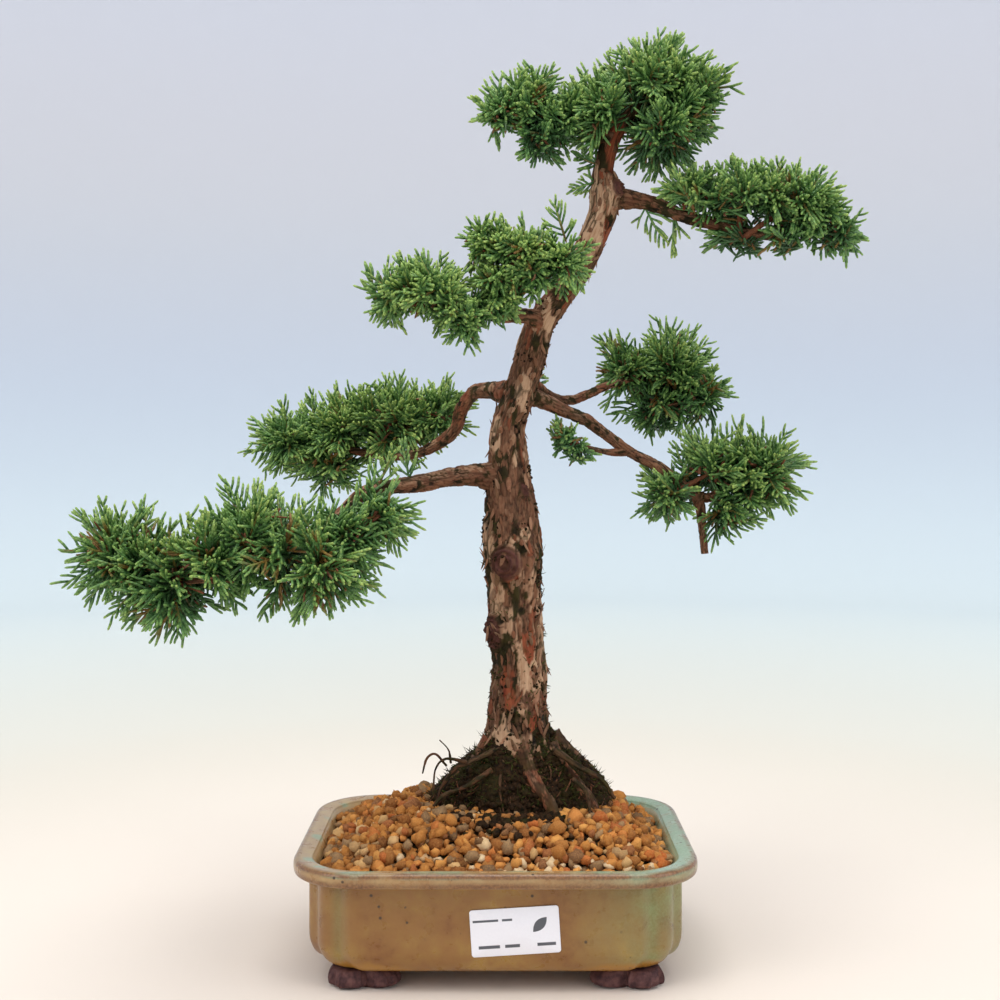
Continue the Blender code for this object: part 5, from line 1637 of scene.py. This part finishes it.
TWIG_SHARE = 0.34      # how many of the sprays get a twig of their own
rng = np.random.default_rng(77)
path_shares = np.array([0.0, 0.03, 0.35, 0.7, 0.97, 1.0])
starts, ends, thick = [], [], []
for node_name, lobes in PADS.items():
    centres = TREE + np.array([centre for centre, _ in lobes], dtype=float)
    order = np.argsort(np.linalg.norm(centres[:, :2] - TREE[:2], axis=1))
    starts.append(centres[order[:-1]])
    ends.append(centres[order[1:]])
    thick.append(np.full(len(order) - 1, 1.5))
    tips, ways, lengths = pad_sprays[node_name]
    chosen = (rng.random(len(tips)) < TWIG_SHARE) & (pad_depth(tips, lobes) < 1.15)
    roots = (tips - ways * (0.8 * lengths)[:, None])[chosen]
    nearest = np.linalg.norm(roots[:, None] - centres, axis=-1).argmin(1)
    starts.append(centres[nearest] + rng.normal(0, 3.0, roots.shape))
    ends.append(roots + ways[chosen] * (0.45 * lengths[chosen])[:, None])
    thick.append(rng.uniform(0.55, 0.95, len(roots)))
starts, ends, thick = (np.concatenate(block) for block in (starts, ends, thick))
sag = rng.normal(0, 0.14, starts.shape) * np.linalg.norm(ends - starts, axis=1, keepdims=True)
paths = curved_paths(starts, ends - starts - sag, sag, path_shares)
bark_threads("pad_twigs", paths, thick[:, None] * np.array([1.0, 0.9, 0.75, 0.55]), rng,
             pale=0.3, fresh=0.7, dirt=0.15)

# %% [markdown]
# ## Loose flakes
# Close up, old bark is torn, and strips of it curl off. Each is a flat tube that starts on a
# random point of the trunk, runs with the grain and bends away from the wood.

# %% Loose flakes on the trunk
rng = np.random.default_rng(55)
count = 620
row = rng.integers(16, len(trunk_surface) - 60, count)
column = rng.integers(0, trunk_surface.shape[1], count)
spot, out = trunk_surface[row, column], trunk_outward[row, column]
grain = unit(trunk_surface[row + 6, column] - trunk_surface[row - 6, column])
lengthwise = grain * rng.choice([-1.0, 1.0], (count, 1))
thickness = np.linalg.norm(spot - trunk_surface[row].mean(1), axis=1)
size = rng.uniform(2.5, 8.0, (count, 1)) * np.clip(thickness / 10, 0.45, 1.2)[:, None]
sideways = np.cross(out, lengthwise)
forward = lengthwise * size + sideways * size * rng.normal(0, 0.22, (count, 1)) + out * 0.05 * size
bend = out * size * rng.uniform(0.02, 0.42, (count, 1))
paths = curved_paths(spot - out * 0.35, forward, bend, (0.0, 0.12, 0.5, 0.85, 1.0))
width = rng.uniform(0.5, 1.6, (count, 1)) * np.array([0.7, 1.0, 0.6])
bark_threads("bark_flakes", paths, width, rng, flatness=0.28, across=sideways, pale=0.75, fresh=0.45,
             dirt=0.5, age=(0.1, 0.9))

# %% [markdown]
# ## Rootlets and hair roots
# A few thin roots have lost their soil and arch in the air at the left. They are stems, like the
# limbs. Hundreds of hair roots lie on the mound: each starts at one height, ends lower down and
# curls a little between.

# %% Rootlets and hairs on the mound
ROOTLETS = [
    [(-8, -12, 44, 1.3), (-24, -20, 38, 1.0), (-31, -22, 35, 0.9), (-37, -23, 27, 0.8), (-40, -24, 18, 0.6)],
    [(-26, -21, 38, 0.8), (-35, -27, 41, 0.7), (-40, -28, 36, 0.6), (-41, -28, 24, 0.5)],
    [(-14, -20, 34, 1.0), (-26, -27, 28, 1.0), (-36, -27, 24, 0.9), (-41, -28, 19, 0.7)],
    [(16, -14, 42, 1.4), (27, -17, 35, 1.3), (38, -18, 29, 1.1), (44, -18, 20, 0.8)],
    [(24, -21, 30, 0.9), (30, -25, 25, 0.8), (32, -29, 15, 0.7)],
    [(-9, -17, 38, 0.8), (-10, -25, 27, 0.7), (-8, -30, 14, 0.5)],
    [(-35, -24, 37, 0.5), (-40, -26, 43, 0.4), (-44, -27, 41, 0.4), (-46, -27, 34, 0.3)],
    [(-33, -22, 38, 0.5), (-34, -26, 45, 0.4), (-38, -28, 50, 0.3)],
]
stems = [stem_arrays(route, 500 + k, 0.2, 0.35, 0.8, 0.5) for k, route in enumerate(ROOTLETS)]
points, faces, values = joined(stems)
values["age"] = 0.35 * values["age"]
values["pale"] = 0.1 * values["pale"]
values["dirt"] = np.clip(values["dirt"] + 0.55, 0, 1)
add_piece("rootlets", points, faces, bark, "bark", **values)


def mound_shares(above):
    """The mound's two half sizes at given heights, as shares of the widest ones."""
    heights, share_x, share_y = np.array(MOUND_LEVELS).T
    return np.stack([np.interp(above, heights, share_x), np.interp(above, heights, share_y)])


HAIR_COUNT = 620
rng = np.random.default_rng(66)
turn = rng.uniform(0, 2 * pi, HAIR_COUNT)
above = rng.uniform(8.0, 44.0, HAIR_COUNT)
shares = mound_shares(above)
starts = mound_reach(turn, above, *shares)
end_turn = turn + rng.normal(0, 0.25, HAIR_COUNT)
end_above = np.maximum(above - rng.uniform(5, 14, HAIR_COUNT), 3.0)
fall = mound_reach(end_turn, end_above, *(shares + 0.14)) - starts
curl = rng.normal(0, 3.6, (HAIR_COUNT, 3)) + (0, 0, 2.0)
paths = curved_paths(starts, fall - curl, curl, path_shares)
radii = rng.uniform(0.16, 0.42, (HAIR_COUNT, 1)) * np.array([1.0, 1.0, 0.9, 0.6])
bark_threads("hair_roots", paths, radii, rng, sides=5, fresh=0.5, dirt=0.9, age=(0.0, 0.5))

# %% [markdown]
# ## Soil and moss crumbs
# Crumbs of soil cover the mound, cling to the bark in clouds, lie round the mound's foot and
# have spilled over the gravel in front. They are the same stone of 24 faces as the grains.

# %% Soil and moss crumbs
rng = np.random.default_rng(88)
count, spilled, round_foot, tried = 2320, 220, 280, 5200
turn = rng.uniform(0, 2 * pi, count)
above = rng.uniform(5.0, 50.0, count)
shares = mound_shares(above)
on_mound = mound_reach(turn, above, *shares)
row = (rng.beta(1.0, 1.5, tried) * (len(trunk_surface) * 0.72)).astype(int)
column = rng.integers(0, trunk_surface.shape[1], len(row))
on_trunk = trunk_surface[row, column]
on_trunk = on_trunk[rough_noise(on_trunk, (5.0, 5.0, 8.0), 171, 3) + 0.12 * (row < 90) > 0.64]
spill = np.stack([TREE[0] + rng.normal(-4, 15, spilled),
                  TREE[1] - 30.0 - np.abs(rng.normal(0, 8, spilled))], -1)
on_gravel = np.column_stack([spill, gravel_height(spill[:, 0], spill[:, 1]) + 1.2])
skirt_turn = rng.uniform(0, 2 * pi, round_foot)
skirt = mound_reach(skirt_turn, 5.0, *shares.mean(1))
skirt_out = np.stack([np.cos(skirt_turn), np.sin(skirt_turn)], -1)
pushed = skirt[:, :2] + np.abs(rng.normal(0, 5.0, (round_foot, 1))) * skirt_out
on_skirt = np.column_stack([pushed, gravel_height(pushed[:, 0], pushed[:, 1]) + 1.4])
spots = np.concatenate([on_mound, on_trunk, on_gravel, on_skirt])
radii = np.concatenate([rng.uniform(0.6, 1.9, count), rng.uniform(0.3, 0.85, len(on_trunk)),
                        rng.uniform(0.8, 2.2, spilled), rng.uniform(0.7, 2.0, round_foot)])
print("crumbs on the mound, trunk, gravel and foot:", count, len(on_trunk), spilled, round_foot)
points, faces = stones(rng, spots, radii)
add_piece("soil_crumbs", points, faces, soil, "root_soil")

# %% [markdown]
# ## Moss threads
# Moss and old fibres stand off the mound as short dark threads and climb the foot of the trunk.
# They soften the mound's outline. Each is a tube of two rings, so thousands cost little.

# %% Moss threads
moss, tree, shader, place = blank_material("moss_threads")
moss_patch = place_mottle(tree, place, 6.0, 4.0)
dress(shader, Base_Color=mix(tree, moss_patch, tone(34, 24, 15), tone(70, 78, 30)), Roughness=0.8,
      Specular_IOR_Level=0.12)

rng = np.random.default_rng(99)
count, climbing = 2600, 1000
turn = rng.uniform(0, 2 * pi, count)
above = rng.uniform(8.0, 47.0, count)
row = (20 + rng.beta(1.0, 2.6, climbing) * (len(trunk_surface) * 0.42)).astype(int)
column = rng.integers(0, trunk_surface.shape[1], climbing)
starts = np.concatenate([mound_reach(turn, above, *mound_shares(above)), trunk_surface[row, column]])
ways = np.concatenate([np.stack([np.cos(turn), np.sin(turn), rng.uniform(0.2, 1.1, count)], -1),
                       trunk_outward[row, column] + (0.0, 0.0, 0.3)])
ways = unit(ways + rng.normal(0, 0.45, ways.shape))
shorter = np.append(np.ones(count), np.full(climbing, 0.7))[:, None]
reach = rng.uniform(1.6, 4.4, (len(starts), 1)) * shorter
paths = curved_paths(starts - 0.6 * ways, ways * reach, 0.35 * reach * rng.normal(size=ways.shape),
                     (0.0, 0.12, 0.65, 1.0))
radii = rng.uniform(0.14, 0.34, (len(starts), 1)) * np.array([1.0, 0.8])
points, faces, share, cells = tubes(paths, radii, sides=4)
add_piece("moss_threads", points, faces, moss, "root_soil", OFBake=cells)
